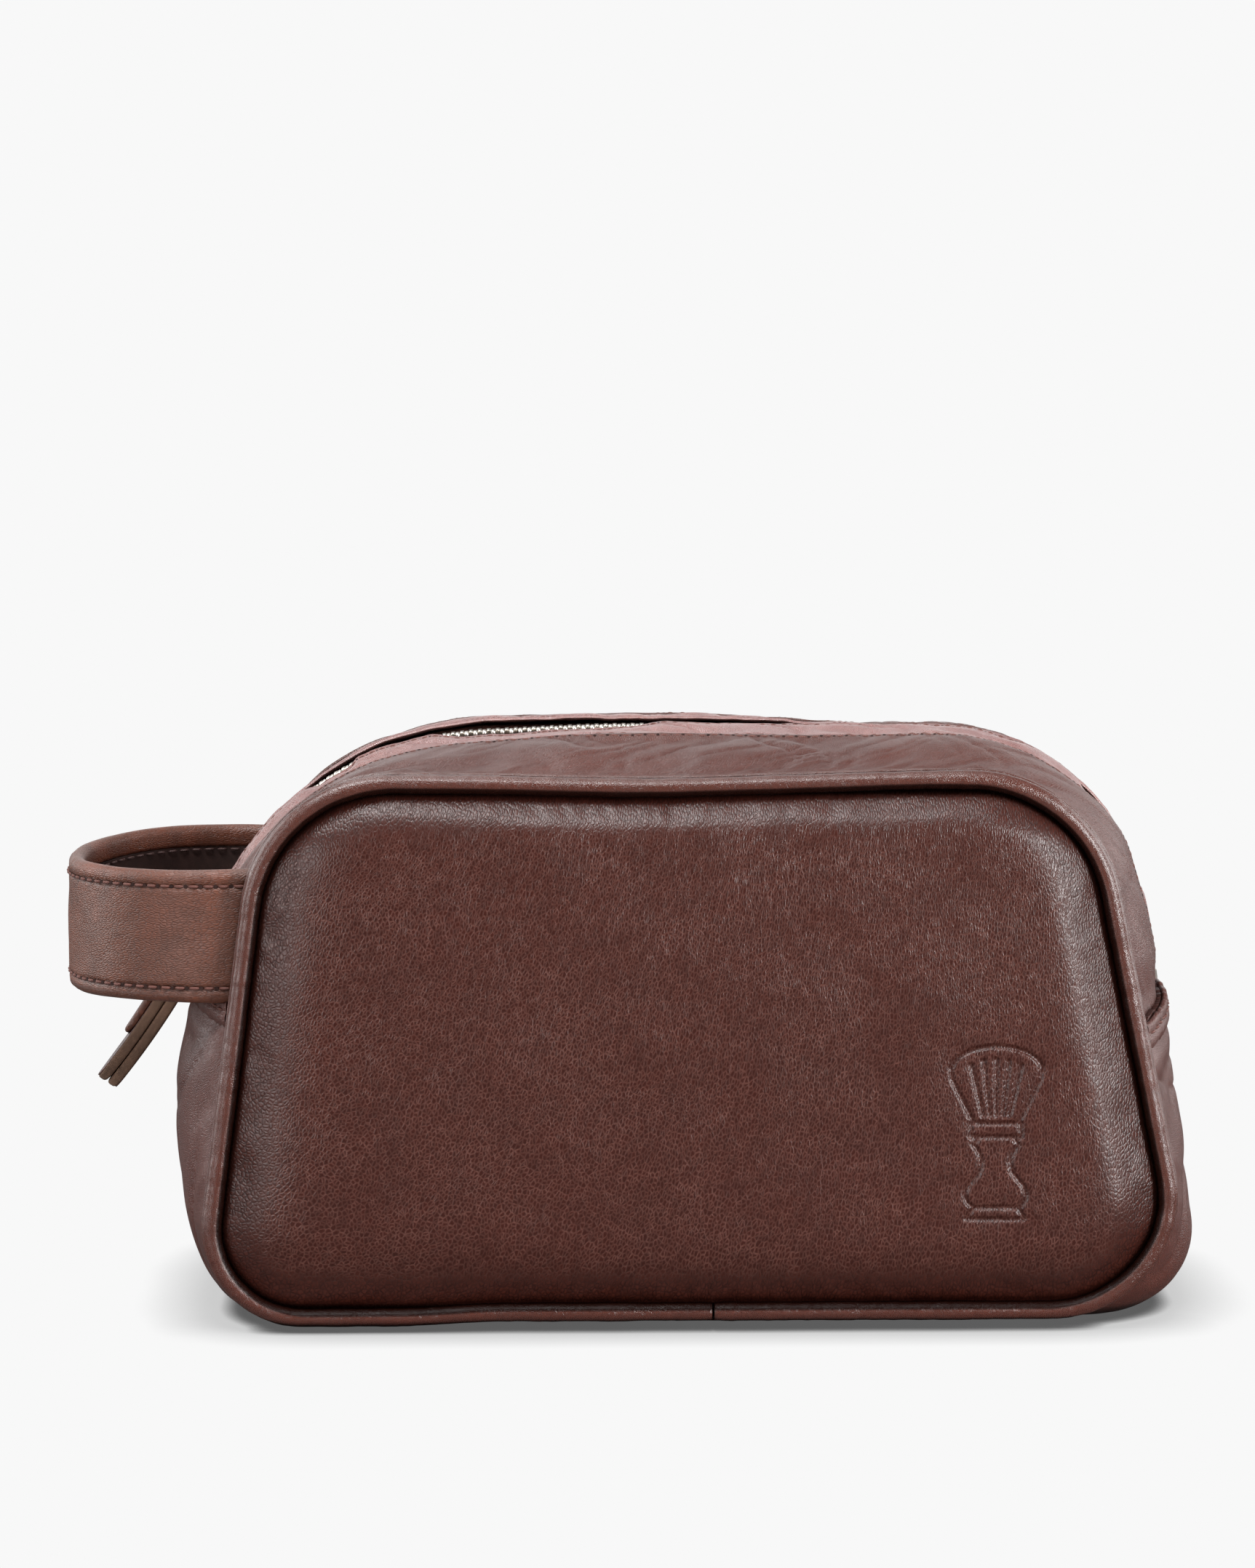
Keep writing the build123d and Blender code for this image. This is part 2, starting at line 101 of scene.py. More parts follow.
def fractal(u, v, size, seed, octaves=3):
    """Sum of noise octaves, about -1 to 1, with the largest features of the given size."""
    total, weight, strength = 0.0, 0.0, 1.0
    for octave in range(octaves):
        turn = 0.6 + 1.1 * octave
        scale = 2**octave / size
        a = (u * math.cos(turn) - v * math.sin(turn)) * scale + 7.3 * octave
        b = (u * math.sin(turn) + v * math.cos(turn)) * scale + 3.1 * octave
        total = total + strength * (2 * value_noise(a, b, seed + octave) - 1)
        weight += strength
        strength *= 0.5
    return total / weight * 1.6


def creases(u, v, angle, length, width, seed, sharp=3.0):
    """Folds from 0 to 1 that run along an angle in the (u, v) plane."""
    wander = 0.35 * width * fractal(u, v, 3 * width, seed + 50, 2)
    along = (u * math.cos(angle) + v * math.sin(angle)) / length
    across = (-u * math.sin(angle) + v * math.cos(angle) + wander) / width
    ridge = 1 - np.abs(2 * value_noise(along, across, seed) - 1)
    return np.clip(ridge, 0, 1) ** sharp


def smooth(low, high, value):
    """Soft step from 0 at low to 1 at high."""
    t = np.clip((value - low) / (high - low), 0, 1)
    return t * t * (3 - 2 * t)


def hump(value, centre, width):
    """Bell curve, 1 at its centre."""
    return np.exp(-(((value - centre) / width) ** 2))


# ---- outlines of the bag ------------------------------------------------------------------------------
def unit(vectors):
    """Vectors scaled to length 1."""
    return vectors / np.maximum(np.linalg.norm(vectors, axis=-1, keepdims=True), 1e-9)


def distances(line):
    """Distance of each point of a line from its first point."""
    return np.concatenate([[0], np.cumsum(np.linalg.norm(np.diff(line, axis=0), axis=1))])


def inset(corners, depth):
    """Corners of a convex counter-clockwise outline moved inwards."""
    into = unit(corners - np.roll(corners, 1, axis=0))
    out_of = np.roll(into, -1, axis=0)
    normal_in = np.stack([-into[:, 1], into[:, 0]], axis=1)
    normal_out = np.stack([-out_of[:, 1], out_of[:, 0]], axis=1)
    share = depth / (1 + (normal_in * normal_out).sum(axis=1))
    return corners + (normal_in + normal_out) * share[:, None]


def outline(corners, radii, step=0.75):
    """Points round a rounded outline, from the middle of its bottom, counter-clockwise."""
    centres = np.array([inset(corners, r)[i] for i, r in enumerate(radii)])
    into = unit(corners - np.roll(corners, 1, axis=0))
    out_of = np.roll(into, -1, axis=0)
    points = []
    for i in (1, 2, 3, 0):
        first = math.atan2(-into[i, 0], into[i, 1])
        last = math.atan2(-out_of[i, 0], out_of[i, 1])
        if last < first:
            last += 2 * math.pi
        turns = np.linspace(first, last, 40)
        points.append(centres[i] + radii[i] * np.stack([np.cos(turns), np.sin(turns)], axis=1))
    middle = (points[-1][-1:] + points[0][:1]) / 2
    path = np.concatenate([middle, *points, middle])
    lengths = distances(path)
    stations = np.linspace(0, lengths[-1], int(lengths[-1] / step) + 1)
    return resample(path, lengths, stations), stations


def resample(path, lengths, stations):
    """Points at distances along a path."""
    return np.stack([np.interp(stations, lengths, path[:, k]) for k in range(path.shape[1])], axis=-1)


def bulge(y):
    """Share of the gusset's bulge at a distance from the middle plane."""
    beyond = np.clip((np.abs(y) - CROWN_Y) / (EDGE_Y - CROWN_Y), 0, 1)
    return 1 - beyond**2


def gusset_station(y):
    """Outline of the gusset on the plane at y, with distances along it."""
    share = float(bulge(y))
    lift = float(np.clip((EDGE_Y - abs(y)) / (EDGE_Y - SHOULDER_Y), 0, 1))
    edge = inset(SEAM_CORNERS, -EDGE_OUT)
    corners = edge + (CROWN_CORNERS - edge) * share
    corners[:2, 1] = edge[:2, 1] * (1 - lift)
    radii = SEAM_RADII + EDGE_OUT + (CROWN_RADII - SEAM_RADII - EDGE_OUT) * share
    return outline(corners, radii)


def hem_height(y, rise=0.0):
    """Height of the base gusset's top edge; the left hem stands higher by a rise."""
    return HEM_Z + rise - HEM_DIP * (y / EDGE_Y) ** 2


def end_swell(points):
    """How far a full bag's end walls stand out or in from the plain loft."""
    x, y, z = points[..., 0], points[..., 1], points[..., 2]
    share = bulge(y) * smooth(80, 112, np.abs(x))
    left = (3.0 * hump(z, 62, 16) - 2.6 * hump(z, 20, 14)) * (x < 0)
    right = (-2.2 + 1.0 * hump(z, 80, 16) + 0.8 * hump(z, 50, 20)) * smooth(8, 30, z) * smooth(128, 110, z)
    right = right * (x > 0)
    moved = points.copy()
    moved[..., 0] += share * (right - left)
    return moved


def settle(points):
    """Small rises and dips of the top and of the bottom seam."""
    x, y, z = points[..., 0], points[..., 1], points[..., 2]
    seam = smooth(40, 52, np.abs(y))
    top = smooth(90, 140, z)
    front_top = -2.4 * hump(x, -60, 26) - 0.9 * hump(x, 40, 40)
    back_top = 0.9 * hump(x, -8, 34) - 2.2 * hump(x, 56, 30)
    share = smooth(-12, 12, y)
    seam_top = -1.1 * hump(x, -12, 34) + 0.8 * hump(x, 66, 26)
    crown_top = front_top * (1 - share) + back_top * share
    bottom = 1.2 * smooth(-78, -48, x) * (1 - smooth(10, 40, z)) * seam
    slump = smooth(-66, -98, x) * smooth(82, 116, z) * smooth(8, 38, y)
    moved = points.copy()
    moved[..., 0] += 3.0 * slump
    moved[..., 2] += top * (crown_top * (1 - seam) + seam_top * seam) + bottom - 2.0 * slump
    return moved


def gusset_grid(y_values, part, columns):
    """Grid of points on the gusset: rows across it, columns along it, and its flat coordinates."""
    rows, flats = [], []
    for y in y_values:
        path, lengths = gusset_station(y)
        total = lengths[-1]
        right = lengths[np.nonzero(path[:, 1] >= hem_height(y))[0][0]]
        left = lengths[np.nonzero(path[:, 1] >= hem_height(y, LEFT_HEM_RISE))[0][-1]]
        first, last = {"top": (right - 6, left + 6), "base": (left - total, right)}[part]
        stations = np.linspace(first, last, columns)
        plan = resample(path, lengths, stations % total)
        rows.append(np.stack([plan[:, 0], np.full(columns, y), plan[:, 1]], axis=1))
        flats.append(np.stack([stations, np.full(columns, y)], axis=1))
    points = settle(end_swell(np.array(rows)))
    return points, np.array(flats)


def grid_normals(points, outward=1.0):
    """Unit normals of a grid of points."""
    along = np.gradient(points, axis=1)
    across = np.gradient(points, axis=0)
    return unit(np.cross(along, across)) * outward


# ---- meshes -------------------------------------------------------------------------------------------
def make_mesh(name, points, faces, material, flat=None, shade=True):
    """Mesh object from points in millimetres."""
    mesh = bpy.data.meshes.new(name)
    above_floor = np.maximum(np.asarray(points).reshape(-1, 3), [-np.inf, -np.inf, 0.0])
    mesh.from_pydata((above_floor * MM).tolist(), [], faces)
    if flat is not None:
        layer = mesh.attributes.new("flat", "FLOAT_VECTOR", "POINT")
        values = np.zeros((len(mesh.vertices), 3), np.float32)
        values[:, : flat.shape[-1]] = np.asarray(flat).reshape(-1, flat.shape[-1])
        layer.data.foreach_set("vector", values.ravel())
    mesh.validate()
    mesh.polygons.foreach_set("use_smooth", [shade] * len(mesh.polygons))
    mesh.materials.append(material)
    piece = bpy.data.objects.new(name, mesh)
    bpy.context.scene.collection.objects.link(piece)
    return piece


def grid_faces(rows, columns, closed_rows=False, closed_columns=False, offset=0, flip=False):
    """Quads of a grid stored row by row."""
    row = np.arange(rows if closed_rows else rows - 1)
    column = np.arange(columns if closed_columns else columns - 1)
    r, c = np.meshgrid(row, column, indexing="ij")
    next_r, next_c = (r + 1) % rows, (c + 1) % columns
    quads = np.stack([r * columns + c, r * columns + next_c, next_r * columns + next_c,
                      next_r * columns + c], axis=-1).reshape(-1, 4) + offset
    return (quads[:, ::-1] if flip else quads).tolist()


def capped_faces(rows, columns):
    """Quads of a grid whose rows close into rings, with a flat cap on each end."""
    caps = [list(range(columns))[::-1], [(rows - 1) * columns + k for k in range(columns)]]
    return grid_faces(rows, columns, closed_columns=True) + caps


def repeated(faces, points_each, count):
    """Faces of one small shape, repeated for a row of copies."""
    return [[k + i * points_each for k in face] for i in range(count) for face in faces]


def thick_sheet(name, outer, normals, thickness, material, flat, round_rows=True):
    """Closed sheet from a grid: outer face, inner face and rims, with rounded long edges."""
    rows, columns = outer.shape[:2]
    across = np.linalg.norm(np.diff(outer, axis=0), axis=2)
    walk = np.concatenate([np.zeros((1, columns)), np.cumsum(across, axis=0)])
    nearest = np.minimum(walk, walk[-1] - walk)
    rim = 0.5 * thickness
    drop = rim - np.sqrt(rim**2 - (0.98 * np.maximum(rim - nearest, 0)) ** 2)
    drop = drop if round_rows else np.zeros_like(drop)
    top = outer - normals * drop[..., None]
    bottom = outer - normals * (thickness - drop)[..., None]
    count = rows * columns
    facing = np.cross(outer[0, 1] - outer[0, 0], outer[1, 0] - outer[0, 0]) @ normals[0, 0]
    flip = facing < 0
    faces = grid_faces(rows, columns, flip=flip) + grid_faces(rows, columns, offset=count, flip=not flip)
    ring = ([c for c in range(columns)] + [r * columns + columns - 1 for r in range(1, rows)]
            + [(rows - 1) * columns + c for c in range(columns - 2, -1, -1)]
            + [r * columns for r in range(rows - 2, 0, -1)])
    for a, b in zip(ring, ring[1:] + ring[:1]):
        quad = [b, a, a + count, b + count]
        faces.append(quad[::-1] if flip else quad)
    points = np.concatenate([top.reshape(-1, 3), bottom.reshape(-1, 3)])
    piece = make_mesh(name, points, faces, material, np.concatenate([flat.reshape(-1, 2)] * 2))
    ends = np.zeros(len(points), bool)
    ends.reshape(2, rows, columns)[:, :, [0, -1]] = True
    for edge in piece.data.edges:
        edge.use_edge_sharp = bool(ends[edge.vertices[0]] and ends[edge.vertices[1]])
    return piece


def tube(name, path, radius, material, sides=18, closed=True, start_normal=(0, 1, 0), seam_centre=None):
    """Tube along a planar path; start_normal is normal to the path's plane.

    With a seam centre, the side that faces it gets a third flat value near 1, which the leather paints in
    shade; the roll's middle gets middling values, painted as a highlight.
    """
    count = len(path)
    tangent = np.roll(path, -1, axis=0) - np.roll(path, 1, axis=0)
    if not closed:
        tangent[0], tangent[-1] = path[1] - path[0], path[-1] - path[-2]
    tangent = unit(tangent)
    side = np.broadcast_to(np.array(start_normal, float), path.shape)
    other = unit(np.cross(tangent, side))
    side = np.cross(other, tangent)
    turns = np.linspace(0, 2 * math.pi, sides, endpoint=False)
    radii = np.broadcast_to(np.asarray(radius, float), (count,))
    ring = (np.cos(turns)[None, :, None] * side[:, None] + np.sin(turns)[None, :, None] * other[:, None])
    points = path[:, None] + ring * radii[:, None, None]
    if closed:
        faces = grid_faces(count, sides, closed_rows=True, closed_columns=True)
    else:
        faces = capped_faces(count, sides)
    walk = distances(path)
    # Mask for painted shade and highlight on the roll, from its side towards the seam centre.
    seam = np.zeros((count, sides))
    if seam_centre is not None:
        inward = unit(np.asarray(seam_centre, float) - path)
        inward = unit(inward - tangent * (inward * tangent).sum(axis=1, keepdims=True))
        seam = smooth(0.0, 0.9, (ring * inward[:, None]).sum(axis=2))
    around = np.broadcast_to(turns * radii.mean(), (count, sides))
    flat = np.stack([np.broadcast_to(walk[:, None], (count, sides)), around, seam], axis=-1)
    return make_mesh(name, points, faces, material, flat)


def capsules(name, centres, along, up, length, radius, material):
    """Row of stitches: short threads that rise out of the leather and dive back into it."""
    sides, sink = 8, 0.55
    steps = np.linspace(-1, 1, 9)
    turns = np.linspace(0, 2 * math.pi, sides, endpoint=False)
    across = unit(np.cross(along, up))
    swell = np.sqrt(np.maximum(1 - np.abs(steps) ** 3.2, 0.02))
    height = radius * (1.1 * (1 - steps**2) - sink)
    spine = (centres[:, None] + along[:, None] * (steps * length / 2)[None, :, None]
             + up[:, None] * height[None, :, None])
    ring = (np.cos(turns)[None, None, :, None] * across[:, None, None]
            + np.sin(turns)[None, None, :, None] * up[:, None, None])
    points = spine[:, :, None] + ring * (radius * swell)[None, :, None, None]
    faces = repeated(capped_faces(len(steps), sides), len(steps) * sides, len(centres))
    strand = np.broadcast_to(
        np.stack(np.broadcast_arrays((steps * length / 2)[:, None], (turns * radius)[None]), axis=-1)[None],
        (len(centres), len(steps), sides, 2))
    return make_mesh(name, points, faces, material, strand)


def needle_holes(name, centres, up, radius):
    """Small dark discs on the leather, painted as the shade inside needle holes."""
    sides = 8
    helper = np.where(np.abs(up[:, 2:]) < 0.9, [[0.0, 0.0, 1.0]], [[1.0, 0.0, 0.0]])
    side = unit(np.cross(up, helper))
    other = np.cross(up, side)
    turns = np.linspace(0, 2 * math.pi, sides, endpoint=False)
    ring = np.cos(turns)[None, :, None] * side[:, None] + np.sin(turns)[None, :, None] * other[:, None]
    rims = centres[:, None] + ring * radius + up[:, None] * 0.03
    points = np.concatenate([rims, (centres + up * 0.05)[:, None]], axis=1)
    fan = [[k, (k + 1) % sides, sides] for k in range(sides)]
    return make_mesh(name, points, repeated(fan, sides + 1, len(centres)), HOLE_SHADE)


def join(name, pieces):
    """One object from several, keeping their materials."""
    with bpy.context.temp_override(active_object=pieces[0], selected_editable_objects=pieces,
                                   selected_objects=pieces, object=pieces[0]):
        bpy.ops.object.join()
    pieces[0].name = name
    pieces[0].data.name = name
    return pieces[0]


def finish_piece(piece, body, slot, *nodes, pad=None):
    """Ride and stand-in of one piece."""
    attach(piece, body)
    if nodes:
        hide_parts(*nodes)
    return piece


# ---- materials ----------------------------------------------------------------------------------------
class Nodes:
    """Short names for building the node tree of a material or of the world.

    A value is either a plain value or another node's output, which is then linked.
    """

    def __init__(self, owner):
        self.material = owner
        owner.use_nodes = True
        self.tree = owner.node_tree
        self.shader = self.tree.nodes.get("Principled BSDF")

    def add(self, kind, values=None, **settings):
        node = self.tree.nodes.new(kind)
        for key, value in settings.items():
            setattr(node, key, value)
        for key, value in (values or {}).items():
            self.feed(node.inputs[key], value)
        return node

    def feed(self, socket, value):
        if isinstance(value, bpy.types.NodeSocket):
            self.tree.links.new(value, socket)
        else:
            socket.default_value = value

    def math(self, operation, a, b=0.0, c=0.0, clamp=False):
        return self.add("ShaderNodeMath", {0: a, 1: b, 2: c}, operation=operation,
                        use_clamp=clamp).outputs[0]

    def remap(self, value, low, high, to_low=0.0, to_high=1.0):
        node = self.add("ShaderNodeMapRange", {"Value": value, "From Min": low, "From Max": high,
                                               "To Min": to_low, "To Max": to_high},
                        interpolation_type="SMOOTHSTEP")
        return node.outputs["Result"]

    def mix(self, share, a, b):
        a, b = ((*colour, 1.0) if isinstance(colour, tuple) else colour for colour in (a, b))
        return self.add("ShaderNodeMix", {0: share, 6: a, 7: b}, data_type="RGBA").outputs[2]

    def noise(self, vector, scale, detail=3.0, rough=0.55):
        return self.add("ShaderNodeTexNoise", {"Vector": vector, "Scale": scale, "Detail": detail,
                                               "Roughness": rough}).outputs["Fac"]

    def flat(self):
        return self.add("ShaderNodeAttribute", attribute_name="flat").outputs["Vector"]

    def place(self, vector, scale=(1, 1, 1), turn=0.0, shift=(0, 0, 0)):
        node = self.add("ShaderNodeMapping", {"Vector": vector, "Scale": scale,
                                              "Rotation": (0, 0, turn), "Location": shift})
        return node.outputs["Vector"]

    def set(self, **values):
        for key, value in values.items():
            self.feed(self.shader.inputs[key.replace("_", " ")], value)

    def bump(self, height, distance, strength=1.0, normal=None):
        values = {"Height": height, "Distance": distance, "Strength": strength}
        if normal is not None:
            values["Normal"] = normal
        return self.add("ShaderNodeBump", values).outputs["Normal"]


def crease_lines(n, coords, angle, width, stretch, soft, shift):
    """Strength, 0 to 1, of a net of fine lines stretched along an angle, and a chance value per cell."""
    turned = n.add("ShaderNodeVectorRotate", {"Vector": coords, "Angle": angle},
                   rotation_type="Z_AXIS").outputs["Vector"]
    vector = n.place(turned, scale=(1 / width / stretch, 1 / width, 1), shift=(shift, shift * 0.7, 0))
    edge = n.add("ShaderNodeTexVoronoi", {"Vector": vector, "Scale": 1.0}, feature="DISTANCE_TO_EDGE",
                 voronoi_dimensions="2D").outputs["Distance"]
    colour = n.add("ShaderNodeTexVoronoi", {"Vector": vector, "Scale": 1.0}, feature="F1",
                   voronoi_dimensions="2D").outputs["Color"]
    chance = n.add("ShaderNodeSeparateXYZ", {0: colour}).outputs[0]
    return n.math("SUBTRACT", 1.0, n.remap(edge, 0.0, soft)), chance


def offset_by(n, vector, scale, amount, detail=2.0):
    """Coordinates pushed about by noise, so that straight lines wander."""
    cloud = n.add("ShaderNodeTexNoise", {"Vector": vector, "Scale": scale, "Detail": detail})
    centred = n.add("ShaderNodeVectorMath", {0: cloud.outputs["Color"], 1: (0.5, 0.5, 0.5)},
                    operation="SUBTRACT").outputs[0]
    scaled = n.add("ShaderNodeVectorMath", {0: centred, "Scale": amount}, operation="SCALE").outputs[0]
    return n.add("ShaderNodeVectorMath", {0: vector, 1: scaled}, operation="ADD").outputs[0]


def leather(name, cell, line, turns, width=0.55, stretch=1.6, soft=0.30, roughness=0.42, grain=1.0,
            variation=0.5, contrast=0.6, gloss=0.5, main=1.0, deep=0.25, highlight_gain=2.0):
    """Grained leather: pebbles, stronger creases among them, mottled colour, soft gloss, painted shade and a
    painted highlight.

    The creases turn from the first to the second angle, in degrees, across the flat's width. The flat's third
    value is 1 in a seam and falls off beside it. Near 1, and in recesses found by ambient occlusion, painted
    shade darkens the colour and the gloss; a little further out, a painted highlight makes the pebbles paler
    and the grooves darker.
    """
    n = Nodes(bpy.data.materials.new(name))
    flat = n.flat()
    x, _, seam = n.add("ShaderNodeSeparateXYZ", {0: flat}).outputs
    # Painted highlight: a band beside the seam where the pebbles are painted paler and the grooves darker.
    painted_highlight = n.math("MULTIPLY", n.remap(seam, 0.10, 0.40), n.remap(seam, 0.95, 0.80))
    first, last = (-math.radians(t) for t in turns)
    angle = n.add("ShaderNodeMapRange", {"Value": x, "From Min": -125.0, "From Max": 125.0,
                                         "To Min": first, "To Max": last}).outputs["Result"]
    drifted = offset_by(n, flat, 0.045, 4.0, 1.0)
    coords = offset_by(n, drifted, 0.9, 0.40, 2.0)
    wider = offset_by(n, drifted, 0.30, 1.2, 1.0)
    pebbles, cells = crease_lines(n, coords, angle, width, stretch, soft, 0.0)
    major = crease_lines(n, wider, angle, width * 2.6, stretch * 2.2, 0.16, 41.0)[0]
    fine = n.noise(n.place(flat, scale=(2.2, 3.2, 1)), 1.0, 3.0, 0.65)
    broad = n.noise(flat, 0.022, 4.0, 0.6)
    middle = n.noise(flat, 0.11, 3.0, 0.6)
    relief = n.noise(flat, 0.045, 3.0, 0.55)
    patches = n.noise(drifted, 0.35, 2.0)
    depth = n.remap(relief, 0.32, 0.66, 0.70, 1.0)
    each = n.remap(patches, 0.30, 0.70, 0.62, 0.85)
    strength = n.math("ADD", each, n.math("MULTIPLY", major, 0.42 * main))
    network = n.math("MULTIPLY", pebbles, n.math("MULTIPLY", strength, depth))
    dark = tuple(c * 0.55 for c in cell)
    # Paler pebble colour of the painted highlight.
    pale = tuple(min(1.0, c * highlight_gain * lift) for c, lift in zip(cell, (1.0, 1.25, 1.35)))
    top = n.mix(n.math("MULTIPLY", painted_highlight, 0.8), cell, pale)
    groove = n.mix(painted_highlight, line, dark)
    tone = n.mix(n.math("MULTIPLY", network, contrast, clamp=True), top, groove)
    warm = (cell[0] * 1.5, cell[1] * 1.25, cell[2] * 1.0)
    tone = n.mix(n.remap(broad, 0.38, 0.7, 0.0, 0.55 * variation), tone, warm)
    tone = n.mix(n.remap(middle, 0.42, 0.78, 0.0, 0.6 * variation), tone, dark)
    tone = n.mix(n.remap(fine, 0.40, 0.75, 0.0, 0.30), tone, dark)
    tone = n.mix(n.remap(cells, 0.2, 1.0, 0.0, 0.35), tone, dark)
    # Painted shade: the colour goes towards black and the gloss down in recesses found by ambient occlusion
    # and where the flat's third value is near 1.
    shelter = n.add("ShaderNodeAmbientOcclusion", {"Distance": 0.005}, samples=8).outputs["AO"]
    open_share = n.math("MULTIPLY", n.remap(shelter, 0.30, 0.85, deep, 1.0),
                        n.remap(seam, 0.80, 0.98, 1.0, 0.15))
    tone = n.mix(open_share, (0.0, 0.0, 0.0), tone)
    coarse = n.bump(n.math("SUBTRACT", 1.0, network), 0.00010 * grain, 0.6)
    surface = n.bump(fine, 0.00003 * grain, 0.5, coarse)
    rough = n.math("ADD", n.math("MULTIPLY_ADD", middle, 0.10, roughness - 0.05),
                   n.math("MULTIPLY", network, 0.10))
    n.set(Base_Color=tone, Roughness=rough, Normal=surface,
          Specular_IOR_Level=n.math("MULTIPLY", open_share, gloss))
    return n.material


def plain_leather(name, colour, roughness):
    """Raw or suede side of leather: mottled fibres."""
    n = Nodes(bpy.data.materials.new(name))
    place = n.add("ShaderNodeTexCoord").outputs["Object"]
    fibres = n.noise(place, 900.0, 4.0, 0.7)
    blotches = n.noise(place, 120.0, 3.0, 0.6)
    dark = tuple(c * 0.45 for c in colour)
    light = tuple(min(1.0, c * 1.7) for c in colour)
    tone = n.mix(n.remap(blotches, 0.35, 0.7, 0.0, 0.7), colour, dark)
    tone = n.mix(n.remap(fibres, 0.5, 0.8, 0.0, 0.6), tone, light)
    n.set(Base_Color=tone, Roughness=n.math("MULTIPLY_ADD", fibres, 0.2, roughness - 0.1),
          Normal=n.bump(fibres, 0.00012, 0.7), Specular_IOR_Level=0.25)
    return n.material


def metal(name, colour, roughness):
    """Worn nickel: fine scratches and darker spots."""
    n = Nodes(bpy.data.materials.new(name))
    place = n.add("ShaderNodeTexCoord").outputs["Object"]
    wear = n.noise(place, 260.0, 4.0, 0.6)
    scratch = n.noise(n.place(place, scale=(4200, 400, 900)), 1.0, 2.0, 0.5)
    n.set(Base_Color=n.mix(n.remap(wear, 0.45, 0.8, 0.0, 0.7), colour, tuple(c * 0.55 for c in colour)),
          Roughness=n.math("MULTIPLY_ADD", scratch, 0.18, roughness - 0.05),
          Normal=n.bump(scratch, 0.00003, 0.4), Metallic=1.0)
    return n.material


def woven(name, colour, thread=0.45):
    """Woven cloth: two crossing sets of threads."""
    n = Nodes(bpy.data.materials.new(name))
    flat = n.flat()
    u = n.place(flat, scale=(math.pi / thread, math.pi / thread, 1))
    parts = n.add("ShaderNodeSeparateXYZ", {0: u}).outputs
    warp = n.math("ABSOLUTE", n.math("SINE", parts[0]))
    weft = n.math("ABSOLUTE", n.math("SINE", parts[1]))
    checker = n.add("ShaderNodeTexChecker", {"Vector": flat, "Scale": 1.0 / thread}).outputs["Fac"]
    weave = n.math("ADD", n.math("MULTIPLY", warp, checker),
                   n.math("MULTIPLY", weft, n.math("SUBTRACT", 1.0, checker)))
    slub = n.noise(flat, 0.5, 3.0, 0.6)
    dark = tuple(c * 0.4 for c in colour)
    tone = n.mix(n.remap(weave, 0.1, 0.9), dark, colour)
    tone = n.mix(n.remap(slub, 0.4, 0.8, 0.0, 0.35), tone, tuple(c * 1.5 for c in colour))
    n.set(Base_Color=tone, Roughness=0.85, Normal=n.bump(weave, 0.00012, 0.8), Specular_IOR_Level=0.05)
    return n.material


def thread_material(name, colour):
    """Twisted thread."""
    n = Nodes(bpy.data.materials.new(name))
    flat = n.flat()
    twist = n.add("ShaderNodeTexWave", {"Vector": n.place(flat, turn=0.8), "Scale": 0.9, "Distortion": 0.6},
                  bands_direction="X").outputs["Fac"]
    tone = n.mix(n.remap(twist, 0.2, 0.8), tuple(c * 0.5 for c in colour), colour)
    n.set(Base_Color=tone, Roughness=0.6, Normal=n.bump(twist, 0.00008, 0.8))
    return n.material


# The last value of the panel and piping leathers sets how much paler their painted highlight beside the seams
# is.
PANEL_LEATHER = leather("panel_leather", (0.031, 0.0061, 0.0036), (0.084, 0.0305, 0.0225), (42, 98),
                        width=0.92, stretch=1.60, soft=0.34, roughness=0.31, grain=1.0, contrast=1.0,
                        variation=0.35, gloss=0.38, highlight_gain=1.6)
GUSSET_LEATHER = leather("gusset_leather", (0.068, 0.0195, 0.0140), (0.032, 0.009, 0.006), (90, 90),
                         width=0.45, stretch=2.6, roughness=0.38, grain=1.3, contrast=0.6, main=0.5)
# The piping's painted shade in recesses goes almost to black.
TRIM_LEATHER = leather("trim_leather", (0.053, 0.0132, 0.0083), (0.095, 0.036, 0.027), (30, 30),
                       width=0.42, stretch=1.2, roughness=0.25, grain=0.6, contrast=0.6, gloss=0.65,
                       deep=0.05, highlight_gain=1.5)
STRAP_LEATHER = leather("strap_leather", (0.098, 0.029, 0.0140), (0.034, 0.010, 0.006), (4, -8),
                        width=0.55, stretch=3.0, roughness=0.40, grain=1.4, variation=1.3, contrast=0.8,
                        main=1.2)
# The facing is a paler copy of the bag's leather with more gloss: its raised colour paints the sheen that the
# strip shows at grazing angles.
SHEEN_PAINTED_FACING_LEATHER = leather("facing_leather_painted_sheen", (0.200, 0.095, 0.090), (0.095, 0.034, 0.029), (80, 80),
                         width=0.45, stretch=2.0, roughness=0.28, grain=1.2, contrast=0.6, gloss=1.0,
                         main=0.6)
STRAP_LINING = plain_leather("strap_suede", (0.024, 0.0105, 0.0085), 0.8)
RAW_EDGE = plain_leather("raw_edge", (0.110, 0.060, 0.038), 0.7)
INNER_HIDE = plain_leather("inner_hide", (0.075, 0.032, 0.024), 0.6)
# Dark colour painted as the shade inside the needle holes.
HOLE_SHADE = plain_leather("needle_hole_shade", (0.022, 0.008, 0.006), 0.9)
THREAD = thread_material("stitching_thread", (0.120, 0.034, 0.022))
DARK_THREAD = thread_material("dark_thread", (0.050, 0.018, 0.015))
LINING_CLOTH = woven("lining_cloth", (0.055, 0.042, 0.036))
TAPE_CLOTH = woven("zip_tape_cloth", (0.085, 0.034, 0.026), 0.35)
ZIP_METAL = metal("zip_metal", (0.74, 0.70, 0.64), 0.28)


